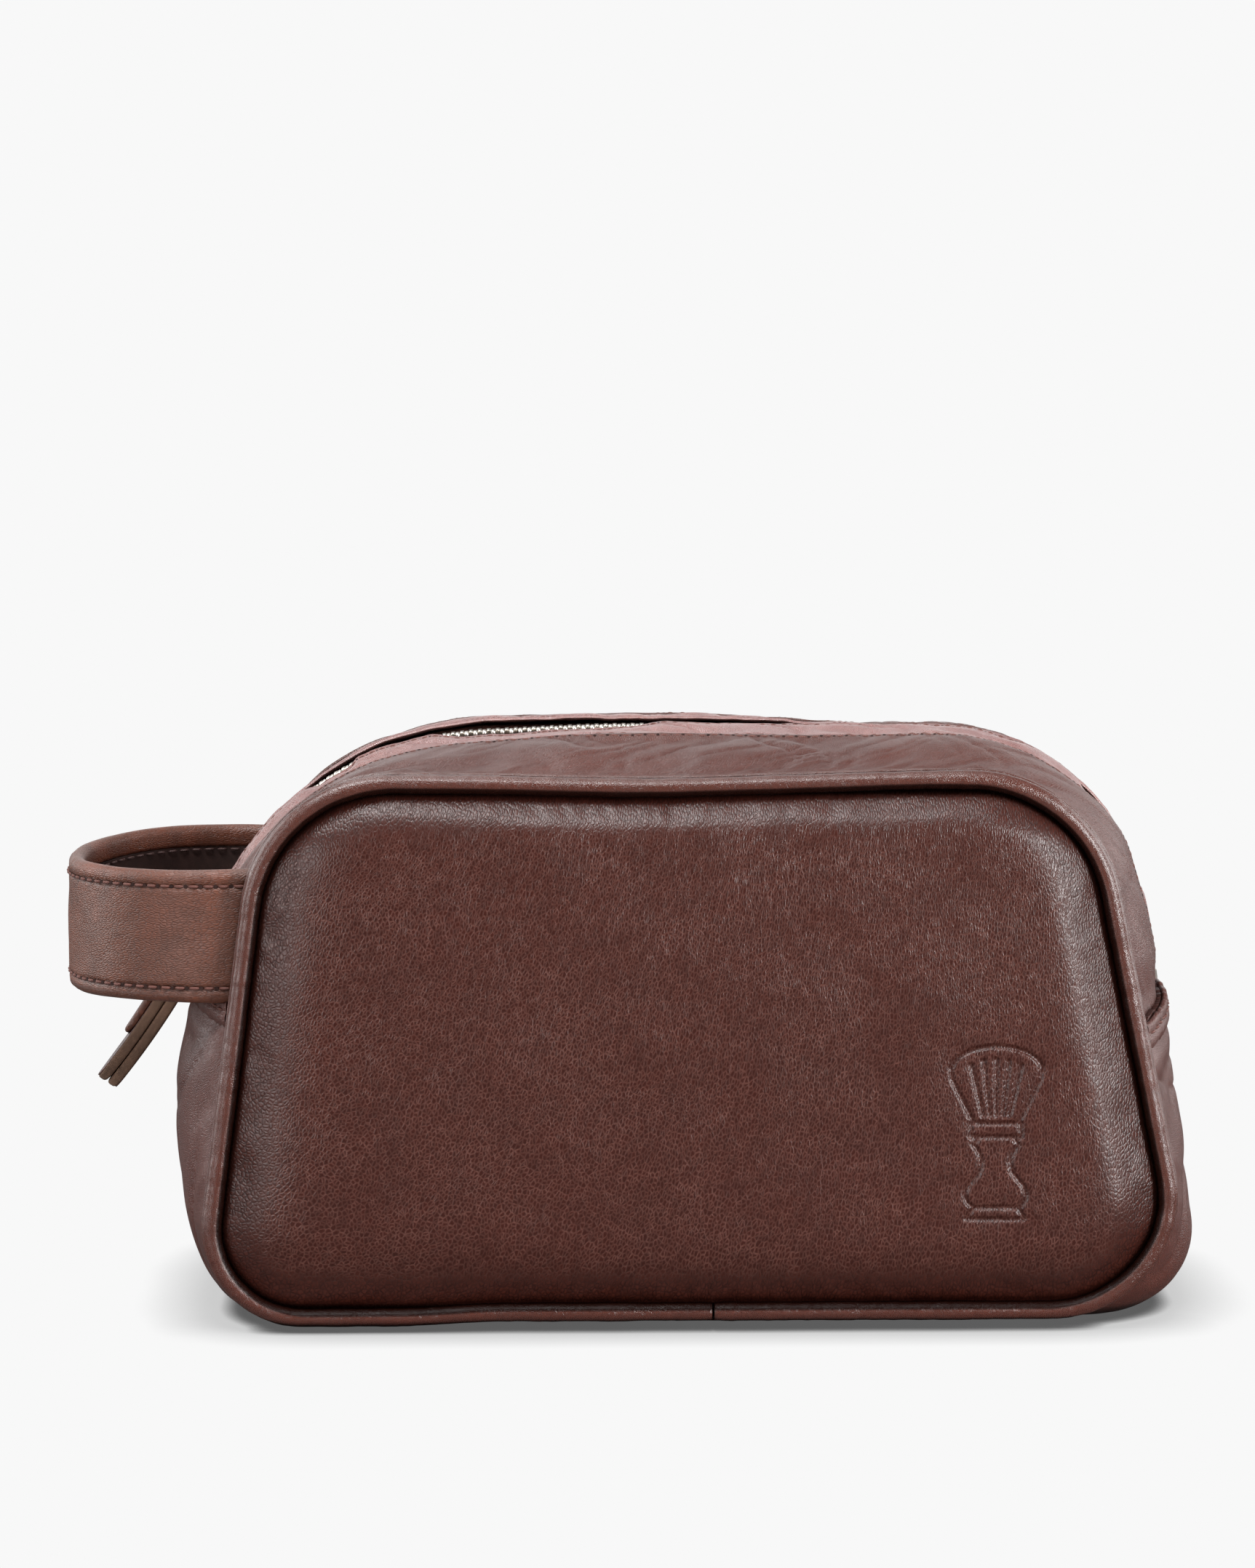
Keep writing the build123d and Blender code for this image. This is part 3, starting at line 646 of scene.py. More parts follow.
# ---- panels -------------------------------------------------------------------------------------------
EMBLEM_X, EMBLEM_Z = 78.0, 52.0
EMBLEM_HALF_WIDTH, EMBLEM_HALF_HEIGHT = 13.0, 24.0
EMBLEM_DEPTH, EMBLEM_LINE = 0.62, 0.62


def depth_inside(x, z, corners, radii):
    """Distance from a rounded outline, for points inside it."""
    into = unit(corners - np.roll(corners, 1, axis=0))
    out_of = np.roll(into, -1, axis=0)
    depth = np.full(np.shape(x), np.inf)
    for i in range(4):
        from_line = (z - corners[i, 1]) * into[i, 0] - (x - corners[i, 0]) * into[i, 1]
        depth = np.minimum(depth, from_line)
    for i in range(4):
        centre = inset(corners, radii[i])[i]
        dx, dz = x - centre[0], z - centre[1]
        beyond = (dx * into[i, 0] + dz * into[i, 1] > 0) & (dx * out_of[i, 0] + dz * out_of[i, 1] < 0)
        depth = np.where(beyond, radii[i] - np.hypot(dx, dz), depth)
    return np.maximum(depth, 0)


def arc_points(centre_x, centre_z, radius_x, radius_z, start, end, count=14):
    """Points on an ellipse between two angles in degrees."""
    turns = np.radians(np.linspace(start, end, count))
    return np.stack([centre_x + radius_x * np.cos(turns), centre_z + radius_z * np.sin(turns)], axis=1)


def emblem_strokes():
    """Line drawing of a shaving brush, about its own middle: bristles, ferrule and handle."""
    fan_left = np.array([(-5.6, 3.0), (-8.2, 8.0), (-11.4, 14.5), (-11.8, 17.5)])
    crown = arc_points(0, 16.6, 11.8, 6.4, 172, 8)
    strokes = [fan_left, fan_left * (-1, 1), crown]
    for lean in (-0.8, -0.4, 0, 0.4, 0.8):
        strokes.append(np.array([(lean * 4.2, 5.0), (lean * 8.0, 19.6 - 2.4 * lean * lean)]))
    strokes += [np.array([(-6.4, 3.0), (6.4, 3.0)]), np.array([(-6.4, -0.6), (6.4, -0.6)])]
    strokes += [np.array([(side * 6.4, 3.0), (side * 6.4, -0.6)]) for side in (-1, 1)]
    side_line = np.concatenate([[(-4.6, -0.6)], arc_points(-10.2, -7.2, 6.4, 6.4, 45, -30, 8),
                                arc_points(-0.4, -15.6, 7.4, 5.4, 150, 222, 8)])
    strokes += [side_line, side_line * (-1, 1)]
    strokes += [np.array([(-5.9, -19.2), (5.9, -19.2)]), np.array([(-7.4, -22.4), (7.4, -22.4)])]
    strokes += [np.array([(side * 5.9, -19.2), (side * 7.4, -22.4)]) for side in (-1, 1)]
    return strokes


def stroke_distance(x, z, strokes):
    """Distance from the nearest line of a drawing."""
    nearest = np.full(x.shape, 99.0)
    for stroke in strokes:
        for a, b in zip(stroke[:-1], stroke[1:]):
            run = b - a
            share = np.clip(((x - a[0]) * run[0] + (z - a[1]) * run[1]) / (run @ run), 0, 1)
            nearest = np.minimum(nearest, np.hypot(x - a[0] - share * run[0], z - a[1] - share * run[1]))
    return nearest


def emboss(x, z):
    """Depth of the pressed emblem."""
    near = (np.abs(x - EMBLEM_X) < EMBLEM_HALF_WIDTH + 2) & (np.abs(z - EMBLEM_Z) < EMBLEM_HALF_HEIGHT + 2)
    depth = np.zeros(x.shape)
    distance = stroke_distance(x[near] - EMBLEM_X, z[near] - EMBLEM_Z, emblem_strokes())
    depth[near] = EMBLEM_DEPTH * (1 - smooth(0.35 * EMBLEM_LINE, 1.5 * EMBLEM_LINE, distance))
    depth[near] += 0.16 * hump(distance, 0, 2.6)
    return depth


def spaced(first, last, step, fine, fine_step):
    """Values from first to last, closer together between the two ends of fine."""
    stops = [first, fine[0], fine[1], last]
    parts = [np.linspace(a, b, max(2, int(abs(b - a) / s)), endpoint=False)
             for a, b, s in zip(stops[:-1], stops[1:], (step, fine_step, step))]
    return np.concatenate([*parts, [last]])


def panel_height(x, z, with_emblem):
    """Height of a padded panel's face above its seam plane: a crown that rolls down to the seam."""
    depth = depth_inside(x, z, SEAM_CORNERS, SEAM_RADII)
    top = smooth(112, 130, z)
    shoulder = PANEL_SHOULDER - 3.6 * top - 1.0 * smooth(30, 12, z)
    softness = 0.75 + 0.5 * top + 1.3 * smooth(-40, -95, x) + 0.9 * smooth(34, 14, z)
    wall = 0.5 + 6.0 * depth / shoulder
    face = 6.5 + 2.0 * (1 - np.exp(-depth / 26))
    height = -softness * np.log(np.exp(-wall / softness) + np.exp(-face / softness))
    seed = 11 if with_emblem else 71
    dents = 0.75 * fractal(x, z, 74, seed, 2) + 0.22 * fractal(x, z, 17, seed + 5, 3)
    height += smooth(2, 22, depth) * dents
    around = np.arctan2(z - PANEL_CENTRE[1], x - PANEL_CENTRE[0]) * 95
    height += 0.32 * hump(depth, 3.5, 3.6) * fractal(around, depth * 0.5, 6.5, seed + 9, 2)
    if with_emblem:
        height -= emboss(x, z)
    return height


def panel(side, name, with_emblem):
    """Closed mesh of a padded panel, from rings of points between its middle and its seam."""
    path = outline(SEAM_CORNERS, SEAM_RADII)[0]
    spokes = path[:-1] - PANEL_CENTRE
    bearing = np.degrees(np.unwrap(np.arctan2(spokes[:, 1], spokes[:, 0])))
    if with_emblem:
        turns = spaced(bearing[0], bearing[0] + 360, 0.6, (-35, 4), 0.22)[:-1]
        shares = spaced(0.004, 1.024, 0.008, (0.47, 0.86), 0.0038)
    else:
        turns = np.arange(bearing[0], bearing[0] + 360, 0.75)
        shares = np.linspace(0.004, 1.024, 110)
    bearing = np.append(bearing, bearing[0] + 360)
    rim = resample(np.concatenate([path[:-1], path[:1]]), bearing, turns)
    plan = PANEL_CENTRE + (rim[None] - PANEL_CENTRE) * shares[:, None, None]
    x, z = plan[..., 0], plan[..., 1]
    front = np.stack([x, side * (PANEL_SEAM_Y + panel_height(x, z, with_emblem)), z], axis=2)
    rows, columns = front.shape[:2]
    back = front[-1].copy()
    back[:, 1] = side * PANEL_BACK_Y
    middle = np.array([[PANEL_CENTRE[0], y, PANEL_CENTRE[1]]
                       for y in (front[0, :, 1].mean(), side * PANEL_BACK_Y)])
    points = settle(np.concatenate([front.reshape(-1, 3), back, middle]))
    faces = grid_faces(rows, columns, closed_columns=True)
    tip, heel = len(points) - 2, len(points) - 1
    last = (rows - 1) * columns
    for c in range(columns):
        d = (c + 1) % columns
        faces.append([tip, c, d][::-1])
        faces.append([last + c, last + d, rows * columns + d, rows * columns + c][::-1])
        faces.append([rows * columns + c, rows * columns + d, heel][::-1])
    if side < 0:
        faces = [face[::-1] for face in faces]
    # Third flat value, nearness to the seam: the leather paints shade in the crevice beside the seam and a
    # highlight on the rolled edge.
    seam = np.exp(-depth_inside(points[:, 0], points[:, 2], SEAM_CORNERS, SEAM_RADII) / 6.5)
    flat = np.stack([points[:, 0], points[:, 2], np.clip(seam, 0, 1)], axis=1)
    return make_mesh(name, points, faces, PANEL_LEATHER, flat)


def seam_line(y, out_by, step):
    """Line round a panel on the plane at y, outside its seam, and distances along the line."""
    path = outline(inset(SEAM_CORNERS, -out_by), SEAM_RADII + out_by, step)[0][:-1]
    line = np.stack([path[:, 0], np.full(len(path), y), path[:, 1]], axis=1)
    return line, np.arange(len(line)) * step


def piping(side, name):
    """Rolled piping round a panel, with a thin bead behind it and a butt joint underneath."""
    step, joint = 0.6, 10.0
    line, walk = seam_line(side * PIPING_Y, PIPING_OUT, step)
    line = np.roll(line, -int(joint / step), axis=0)
    line[:, 1] += 0.16 * fractal(walk, walk * 0, 30, 31, 2)
    swell = 0.04 * fractal(walk, walk * 0, 3.2, 21, 3) + 0.04 * fractal(walk, walk * 0, 21, 25, 2)
    ends = np.minimum(walk, walk[-1] - walk)
    radius = PIPING_R * (1 + swell) * (1 - 0.06 * hump(ends, 0, 2.5))
    # The roll's side towards the panel is painted in shade and its middle with a highlight.
    roll = tube(name, settle(line), radius, TRIM_LEATHER, 24, closed=False,
                seam_centre=(PANEL_CENTRE[0], side * (PIPING_Y + 40.0), PANEL_CENTRE[1]))
    line, walk = seam_line(side * BEAD_Y, BEAD_OUT, step)
    line[:, 1] += 0.14 * fractal(walk, walk * 0, 14, 41, 2)
    thick = BEAD_R * (1 + 0.05 * fractal(walk, walk * 0, 3.4, 45, 3))
    bead = tube(name + "_bead", settle(line), thick, TRIM_LEATHER, 12)
    return join(name, [roll, bead])


def seam_binding(side, name):
    """Rolled strip that binds the seam inside the bag."""
    line = seam_line(side * BINDING_Y, BINDING_OUT, 1.5)[0]
    return tube(name, settle(line), BINDING_R, INNER_HIDE, 10)


# ---- gusset -------------------------------------------------------------------------------------------
def along_row(grid, rows_y, y, count_from, spacing):
    """Evenly spaced points on a grid's line at y, with directions along it and out of it."""
    index = np.interp(y, np.sort(rows_y), np.argsort(rows_y).astype(float))
    low = int(min(index, len(rows_y) - 2))
    share = index - low
    normals = grid_normals(grid)
    line = grid[low] * (1 - share) + grid[low + 1] * share
    up = unit(normals[low] * (1 - share) + normals[low + 1] * share)
    lengths = distances(line)
    stops = np.arange(count_from + spacing / 2, lengths[-1] - count_from, spacing)
    along = unit(np.gradient(line, axis=0))
    return (resample(line, lengths, stops), unit(resample(along, lengths, stops)),
            unit(resample(up, lengths, stops)))


def outward(points, normals):
    """Normals turned to point away from the middle of the bag."""
    middle = np.array([0.0, 0.0, 70.0])
    away = ((points - middle) * normals).sum(axis=-1, keepdims=True)
    return normals * np.where(away.mean() < 0, -1, 1)


def split_at_middle(points):
    """Masks of the two halves of a row of things, by x."""
    return points[:, 0] < 0, points[:, 0] >= 0


def fold_halves(side_name, pieces):
    """Bakes the transforms of the left and right halves of a lip's piece."""
    for piece, sign in zip(pieces, (-1, 1)):
        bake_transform(piece)


def split_columns(points):
    """Column ranges of a grid's right and left halves, which share one column."""
    middle = int(np.argmin(np.abs(points[points.shape[0] // 2, :, 0])))
    return slice(0, middle + 1), slice(middle, points.shape[1])


def lip_halves(side_name, kind, stands_for, points, normals, thickness, material, flat,
               round_rows=True):
    """Sheet of one lip in a right and a left half, standing in for its CAD nodes."""
    halves = {}
    for columns, half in zip(split_columns(points), ("right", "left")):
        halves[half] = thick_sheet(f"{side_name}_{kind}_{half}", points[:, columns], normals[:, columns],
                                   thickness, material, flat[:, columns], round_rows)
    for half, piece in halves.items():
        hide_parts(*(f"{side_name}_{node.format(half)}" for node in stands_for))
    fold_halves(side_name, [halves["left"], halves["right"]])


def top_strip_grid(side, outer_y, inner_y, step):
    """Grid of one top strip, from its outer to its inner edge, and the rows' y values."""
    rows = max(4, int((outer_y - inner_y) / step) + 1)
    y_values = side * np.linspace(outer_y, inner_y, rows)
    return gusset_grid(y_values, "top", int(330 / step)), y_values


def top_gusset(side, side_name):
    """Outer leather of the top of the gusset on one side of the zip, and its stitch row."""
    (points, flat), y_values = top_strip_grid(side, EDGE_Y, GUSSET_INNER_Y, 1.0)
    normals = outward(points, grid_normals(points))
    x, y, z = points[..., 0], np.abs(points[..., 1]), points[..., 2]
    s = flat[..., 0]
    inner = smooth(EDGE_Y - 1, EDGE_Y - 7, y) * smooth(GUSSET_INNER_Y, GUSSET_INNER_Y + 5, y)
    height = 0.55 * fractal(s, y, 34, 3 + side, 2) * inner
    middle, left, right = hump(x, 0, 75), smooth(-30, -75, x), smooth(60, 100, x)
    for deep, angle, length, width, seed, sharp, where in (
            (1.3, 0.75, 26, 6.0, 61, 2.2, middle), (0.55, 2.2, 18, 4.5, 64, 3, middle),
            (1.3, 0.10, 60, 6.5, 67, 2.2, left), (0.50, 2.5, 22, 3.6, 70, 3, right)):
        height -= deep * inner * creases(s, y * side, angle, length, width, seed + side, sharp) * where
    height += 0.30 * hump(y, EDGE_Y - 4, 4.5) * fractal(s, y * 0, 6.0, 73 + side, 2)
    height += 0.12 * hump(y, GUSSET_INNER_Y + 2.6, 2.8) * fractal(s, y * 0, 5.0, 77 + side, 2)
    height -= 0.45 * hump(y, GUSSET_STITCH_Y, 0.55) - 0.35 * hump(y, 20.8, 1.0)
    height -= 2.0 * smooth(96, 84, z) + 0.5 * smooth(EDGE_Y - 3, EDGE_Y, y)
    points = points + normals * height[..., None]
    normals = outward(points, grid_normals(points))
    lip_halves(side_name, "gusset_skin", ("top_gusset_{}", "top_gusset_mid"), points, normals,
               LEATHER, GUSSET_LEATHER, flat)
    fold_halves(side_name, stitch_row(points, y_values, side * GUSSET_STITCH_Y,
                                      f"{side_name}_gusset_stitches", 3.3, 2.5, 0.33, sunk=0.3))


def stitch_row(grid, y_values, y, name, spacing, length, radius, sunk):
    """Stitches and needle holes along a grid's line, in a left and a right half."""
    centres, along, up = along_row(grid, y_values, y, 9.0, spacing)
    up = outward(centres, up)
    halves = []
    for mask, half in zip(split_at_middle(centres), ("left", "right")):
        row = capsules(f"{name}_{half}", centres[mask] - up[mask] * sunk, along[mask], up[mask], length,
                       radius, THREAD)
        gaps = centres[mask] + along[mask] * spacing / 2
        holes = needle_holes(f"{name}_{half}_holes", gaps, up[mask], radius * 1.25)
        piece = join(f"{name}_{half}", [row, holes])
        halves.append(piece)
    return halves


def facing(side, side_name):
    """Thin turned strip beside the zip, wrinkled, with its two stitch rows."""
    (points, flat), y_values = top_strip_grid(side, FACING_OUTER_Y, FACING_INNER_Y, 0.8)
    normals = outward(points, grid_normals(points))
    y, z, s = np.abs(points[..., 1]), points[..., 2], flat[..., 0]
    x = points[..., 0]
    shown = (smooth(-68, -58, x) * smooth(-4, -16, x) + smooth(-101, -97, x) * smooth(-86, -90, x)
             + smooth(103, 107, x) * smooth(121, 117, x))
    lift = 1.5 * (1 - np.clip(shown, 0, 1)) if side < 0 else 1.3
    free = smooth(FACING_OUTER_Y, FACING_OUTER_Y - 3, y)
    height = -0.4 + lift * smooth(17, 8, y) + 0.35 * hump(y, 13, 6)
    height += 0.35 * free * fractal(s, y, 11, 83 + side, 3)
    height -= 0.8 * free * creases(s, y * side, 0.30, 26, 4.6, 87 + side, 2.2) * smooth(5.5, 9, y)
    left_folds = free * smooth(-30, -70, x) * hump(y, 13, 6)
    height -= 0.8 * left_folds * creases(s, y * side, 0.06, 70, 3.6, 97 + side, 1.8)
    height += 0.14 * fractal(s, y * 0, 4.2, 93 + side, 2) * (hump(y, 18.5, 1.8) + hump(y, 6.5, 1.8))
    height -= 0.4 * hump(y, SEAM_STITCH_Y, 0.5) + 0.4 * hump(y, FACING_STITCH_Y, 0.5)
    height -= 1.6 * smooth(92, 86, z)
    points = points + normals * height[..., None]
    normals = outward(points, grid_normals(points))
    lip_halves(side_name, "facing_skin", ("zip_facing_{}", "zip_facing_mid"), points,
               normals, 1.1, SHEEN_PAINTED_FACING_LEATHER, flat)
    for y, row, spacing in ((SEAM_STITCH_Y, "seam", 3.3), (FACING_STITCH_Y, "facing", 2.9)):
        fold_halves(side_name, stitch_row(points, y_values, side * y, f"{side_name}_{row}_stitches", spacing,
                                          spacing - 0.8, 0.31, sunk=0.15 if side < 0 else 0.3))


def zip_tape(side, side_name):
    """Woven tape that carries one row of teeth."""
    points, flat = top_strip_grid(side, TAPE_OUTER_Y, TAPE_INNER_Y, 1.2)[0]
    normals = outward(points, grid_normals(points))
    fall = 1.85 + 0.25 * smooth(5, 3, np.abs(points[..., 1])) + 0.8 * smooth(90, 86, points[..., 2])
    points = points - normals * fall[..., None]
    lip_halves(side_name, "tape_cloth", ("zip_tape_{}", "zip_tape_mid"), points, normals, 0.6,
               TAPE_CLOTH, flat)


def tooth_shape():
    """Outline points of one zip tooth about its centre: (across, along) with a narrow waist."""
    return np.array([(-3.3, -0.62), (-1.2, -0.62), (-0.5, -0.34), (0.0, -0.34), (0.45, -0.56), (0.95, -0.5),
                     (1.15, 0.0), (0.95, 0.5), (0.45, 0.56), (0.0, 0.34), (-0.5, 0.34), (-1.2, 0.62),
                     (-3.3, 0.62)])


def zip_teeth(side, side_name):
    """One row of cast teeth, set half a pitch from the other row."""
    rows_y = side * np.array([3.0, 1.5, 0.0])
    points = gusset_grid(rows_y, "top", 420)[0]
    centres, along, up = along_row(points, rows_y, 0.0, 12.0, ZIP_PITCH / 2)
    own = slice(int(side < 0), None, 2)
    centres, along = centres[own], along[own]
    up = outward(centres, up[own])
    across = np.tile([0.0, -side, 0.0], (len(centres), 1))
    shape = tooth_shape()
    levels = ((-2.9, 0.80), (-2.7, 0.96), (-1.15, 1.0), (-0.75, 0.92), (-0.55, 0.74))
    middle = np.array([-1.0, 0.0])
    rings = []
    for level, scale in levels:
        ring = middle + (shape - middle) * (1 - (1 - scale) * np.array([0.35, 1.0]))
        rings.append(centres[:, None] + up[:, None] * level
                     + across[:, None] * ring[None, :, :1] + along[:, None] * ring[None, :, 1:])
    teeth = np.stack(rings, axis=1)
    tooth = capped_faces(len(levels), len(shape))
    if side > 0:
        tooth = [face[::-1] for face in tooth]
    halves = []
    for mask, half in zip(split_at_middle(centres), ("left", "right")):
        faces = repeated(tooth, len(levels) * len(shape), int(mask.sum()))
        piece = make_mesh(f"{side_name}_teeth_{half}", teeth[mask], faces, ZIP_METAL)
        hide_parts(f"{side_name}_zip_teeth_{half}", f"{side_name}_zip_teeth_mid")
        halves.append(piece)
    fold_halves(side_name, halves)


def base_gusset():
    """Gusset leather from hem to hem round the bottom, and the lining cloth inside it."""
    y_values = np.linspace(-EDGE_Y, EDGE_Y, 96)
    points, flat = gusset_grid(y_values, "base", 430)
    normals = outward(points, grid_normals(points))
    x, y, z = points[..., 0], points[..., 1], points[..., 2]
    s = flat[..., 0]
    wall = smooth(3, 16, z)
    inner = smooth(EDGE_Y, EDGE_Y - 7, np.abs(y))
    height = 0.7 * fractal(s, y, 30, 103, 2) * wall * inner
    height -= 1.3 * wall * inner * creases(s, y, 0.12, 46, 15, 107, 4) * smooth(70, 30, z)
    hem_line = np.where(x > 0, hem_height(y), hem_height(y, LEFT_HEM_RISE))
    under_hem = smooth(hem_line - 11, hem_line - 17, z)
    height *= under_hem
    upper = smooth(46, 60, z) * under_hem
    height -= 0.9 * wall * inner * creases(s, y, 1.45, 36, 7.5, 111, 4) * upper
    height += 0.35 * wall * hump(np.abs(y), EDGE_Y - 4, 4) * fractal(s, y * 0, 7, 115, 2)
    height -= 0.5 * smooth(EDGE_Y - 3, EDGE_Y, np.abs(y)) * wall
    height -= 0.3 * smooth(hem_line - 9, hem_line, z)
    points = points + normals * height[..., None]
    normals = outward(points, grid_normals(points))
    points = points - normals * (0.5 * smooth(hem_line - 11, hem_line - 7, z))[..., None]
    skin = thick_sheet("base_gusset_skin", points, normals, LEATHER, GUSSET_LEATHER, flat, round_rows=False)
    finish_piece(skin, "bag", "leather_main", "base_gusset")
    inside = (slice(4, -4), slice(12, -12))  # clear of the piping and of the hems
    under = (points - normals * (LEATHER + 0.2))[inside]
    cloth = thick_sheet("base_lining_cloth", under, normals[inside], 0.5, LINING_CLOTH, flat[inside],
                        round_rows=False)
    finish_piece(cloth, "bag", "lining_fabric", "base_lining")


def hem_grid(end, sign):
    """Clean grid of the doubled hem: rows up the wall, columns across the bag."""
    y_values = np.linspace(-HEM_HALF_LENGTH, HEM_HALF_LENGTH, 110)
    columns = []
    for y in y_values:
        path, lengths = gusset_station(y)
        above = np.nonzero(path[:, 1] >= hem_height(y, 0.0 if end == "right" else LEFT_HEM_RISE))[0]
        top = lengths[above[0]] if end == "right" else lengths[above[-1]]
        stations = top + sign * np.linspace(-HEM_WIDTH, 0.4, 16)
        plan = resample(path, lengths, stations)
        columns.append(np.stack([plan[:, 0], np.full(16, y), plan[:, 1]], axis=1))
    return settle(end_swell(np.swapaxes(np.array(columns), 0, 1)))


def hem(end):
    """Folded top edge of the base gusset at one end, with its stitches."""
    sign = 1 if end == "right" else -1
    points = hem_grid(end, sign)
    normals = outward(points, grid_normals(points))
    share = np.linspace(0, 1, len(points))[:, None]
    y = points[..., 1]
    fold, stitch_groove = 0.2 * hump(share, 0.9, 0.12), 0.3 * hump(share, 0.64, 0.05)
    height = 1.75 * smooth(0.0, 0.45, share) - 1.0 + fold - stitch_groove
    height = height + 0.10 * fractal(y, share * 9, 12, 121 + sign, 2) * share
    points = points + normals * height[..., None]
    points[..., 2] += 0.6 * fractal(y, y * 0, 24, 125 + sign, 2) * share
    normals = outward(points, grid_normals(points))
    flat = np.stack([np.broadcast_to(share * HEM_WIDTH, y.shape), y], axis=-1)
    strip = thick_sheet(f"{end}_hem_skin", points, normals, HEM_THICK, GUSSET_LEATHER, flat)
    finish_piece(strip, "bag", "leather_main", f"{end}_gusset_hem")
    line, up = points[10], normals[10]
    lengths = distances(line)
    stops = np.arange(3, lengths[-1] - 3, 3.4)
    centres = resample(line, lengths, stops)
    along = unit(resample(np.gradient(line, axis=0), lengths, stops))
    lifted = unit(resample(up, lengths, stops))
    row = capsules(f"{end}_hem_stitches", centres, along, lifted, 2.5, 0.36, THREAD)
    finish_piece(row, "bag", "leather_trim")


def lip_lining(side, side_name):
    """Cloth under one lip, from the seam to the zip tape."""
    points, flat = top_strip_grid(side, 47.5, 15.0, 2.0)[0]
    normals = outward(points, grid_normals(points))
    points = points - normals * (3.0 + 1.6 * smooth(100, 84, points[..., 2]))[..., None]
    lip_halves(side_name, "lip_cloth", ("lip_lining",), points, normals, 0.6, LINING_CLOTH,
               flat, round_rows=False)


# ---- carry loop ---------------------------------------------------------------------------------------
def strap_frame(turn):
    """Point on the strap's middle line and its outward direction, for angles from front to back."""
    out = np.stack([-np.sin(turn), -np.cos(turn), np.zeros_like(turn)], axis=-1)
    middle = np.array([STRAP_CENTRE_X, 0.0, STRAP_MID_Z]) + out * (STRAP_R - STRAP_THICK / 2)
    middle[..., 0] = STRAP_CENTRE_X + (middle[..., 0] - STRAP_CENTRE_X) * STRAP_PULL_IN
    middle[..., 2] += -1.6 * np.sin(turn) ** 4 - 0.6 * np.sin(2 * turn)
    return middle, out


def strap_profile():
    """Cross-section of the leather: (across the width, outwards), rims rolled over the lining."""
    rim = 2.35
    flat_half = STRAP_HALF_WIDTH - rim
    w = np.linspace(-flat_half, flat_half, 49)
    crown = 0.25 * np.cos(w / STRAP_HALF_WIDTH * math.pi / 2)
    outer_side = np.stack([w, 2.2 + crown - 0.42 * hump(np.abs(w), STRAP_STITCH, 0.7)], axis=1)
    turns = np.linspace(0.25, math.pi - 0.1, 12)
    top_rim = np.stack([flat_half + rim * np.sin(turns), rim * np.cos(turns) * 0.96], axis=1)
    lip = np.array([(flat_half - 2.6, -2.25), (flat_half - 3.4, -1.9), (flat_half - 3.6, -1.2)])
    w = np.linspace(flat_half - 3.8, -(flat_half - 3.8), 25)
    recess = np.stack([w, np.full(25, -1.0)], axis=1)
    mirror = np.array([-1.0, 1.0])
    return np.concatenate([outer_side, top_rim, lip, recess, lip[::-1] * mirror, top_rim[::-1] * mirror])


def strap_surface(turn, across, out_by):
    """Points on the strap from angle, width and height above its middle."""
    middle, out = strap_frame(turn)
    points = middle + out * out_by[..., None]
    points[..., 2] += across
    return points


def strap_leather(turns):
    """Leather of the carry loop, with soft dents and worn rims."""
    profile = strap_profile()
    turn = np.repeat(turns[:, None], len(profile), axis=1)
    across = np.repeat(profile[None, :, 0], len(turns), axis=0)
    out_by = np.repeat(profile[None, :, 1], len(turns), axis=0)
    walk = turn * STRAP_R
    outer_face = out_by > 0.4
    soft = 0.35 * fractal(walk, across, 30, 131, 2) + 0.10 * fractal(walk, across, 7, 135, 2)
    rims = 0.16 * fractal(walk, across * 0, 5.0, 139, 3) * (np.abs(across) > 12.5)
    out_by = out_by + (soft + rims) * outer_face + 0.3 * soft * ~outer_face
    across = across * (1 + 0.012 * fractal(walk, walk * 0, 26, 143, 2))
    points = strap_surface(turn, across, out_by)
    faces = capped_faces(len(turns), len(profile))
    flat = np.stack([walk, np.repeat(distances(profile)[None], len(turns), axis=0)], axis=-1)
    piece = make_mesh("strap_skin", points, faces, STRAP_LEATHER, flat)
    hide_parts("strap_outer", "strap_end_front", "strap_end_back")
    return piece


def strap_suede(turns):
    """Suede lining in the recess of the carry loop's inner face."""
    half = STRAP_HALF_WIDTH - 5.9
    rows = np.linspace(half, -half, 26)
    turn = np.repeat(turns[:, None], len(rows), axis=1)
    across = np.repeat(rows[None], len(turns), axis=0)
    walk = turn * 45
    sag = -1.75 - 0.3 * np.cos(across / half * math.pi / 2) + 0.12 * fractal(walk, across, 9, 151, 2)
    normals = np.repeat(-strap_frame(turns)[1][:, None], len(rows), axis=1)
    piece = thick_sheet("strap_suede", strap_surface(turn, across, sag), normals, 0.9, STRAP_LINING,
                        np.stack([walk, across], axis=-1), round_rows=False)
    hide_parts("strap_lining")
    return piece


def strap_stitches():
    """Two stitch rows on the carry loop's outer face, with needle holes, and two on its inner face."""
    pitch = 4.15
    stops = np.arange(0.0, math.pi, pitch / STRAP_R)
    middle, out = strap_frame(stops)
    along = unit(np.gradient(middle, axis=0))

    def row(level, height):
        return strap_surface(stops, np.full(len(stops), level), np.full(len(stops), height))

    stitches, holes, inner_stitches = [], [], []
    for sign in (-1, 1):
        centres = row(sign * STRAP_STITCH, 2.10)
        stitches.append(capsules("strap_stitches", centres, along, out, 3.0, 0.42, THREAD))
        holes.append(needle_holes("strap_holes", centres + along * pitch / 2 + out * 0.10, out, 0.55))
    for sign in (-1, 1):
        centres = row(sign * STRAP_INNER_STITCH, -2.45)
        inner_stitches.append(capsules("strap_stitches_inside", centres, along, -out, 2.8, 0.36, DARK_THREAD))
    rows = [join("strap_stitches", stitches + holes), join("strap_stitches_inside", inner_stitches)]
    return rows


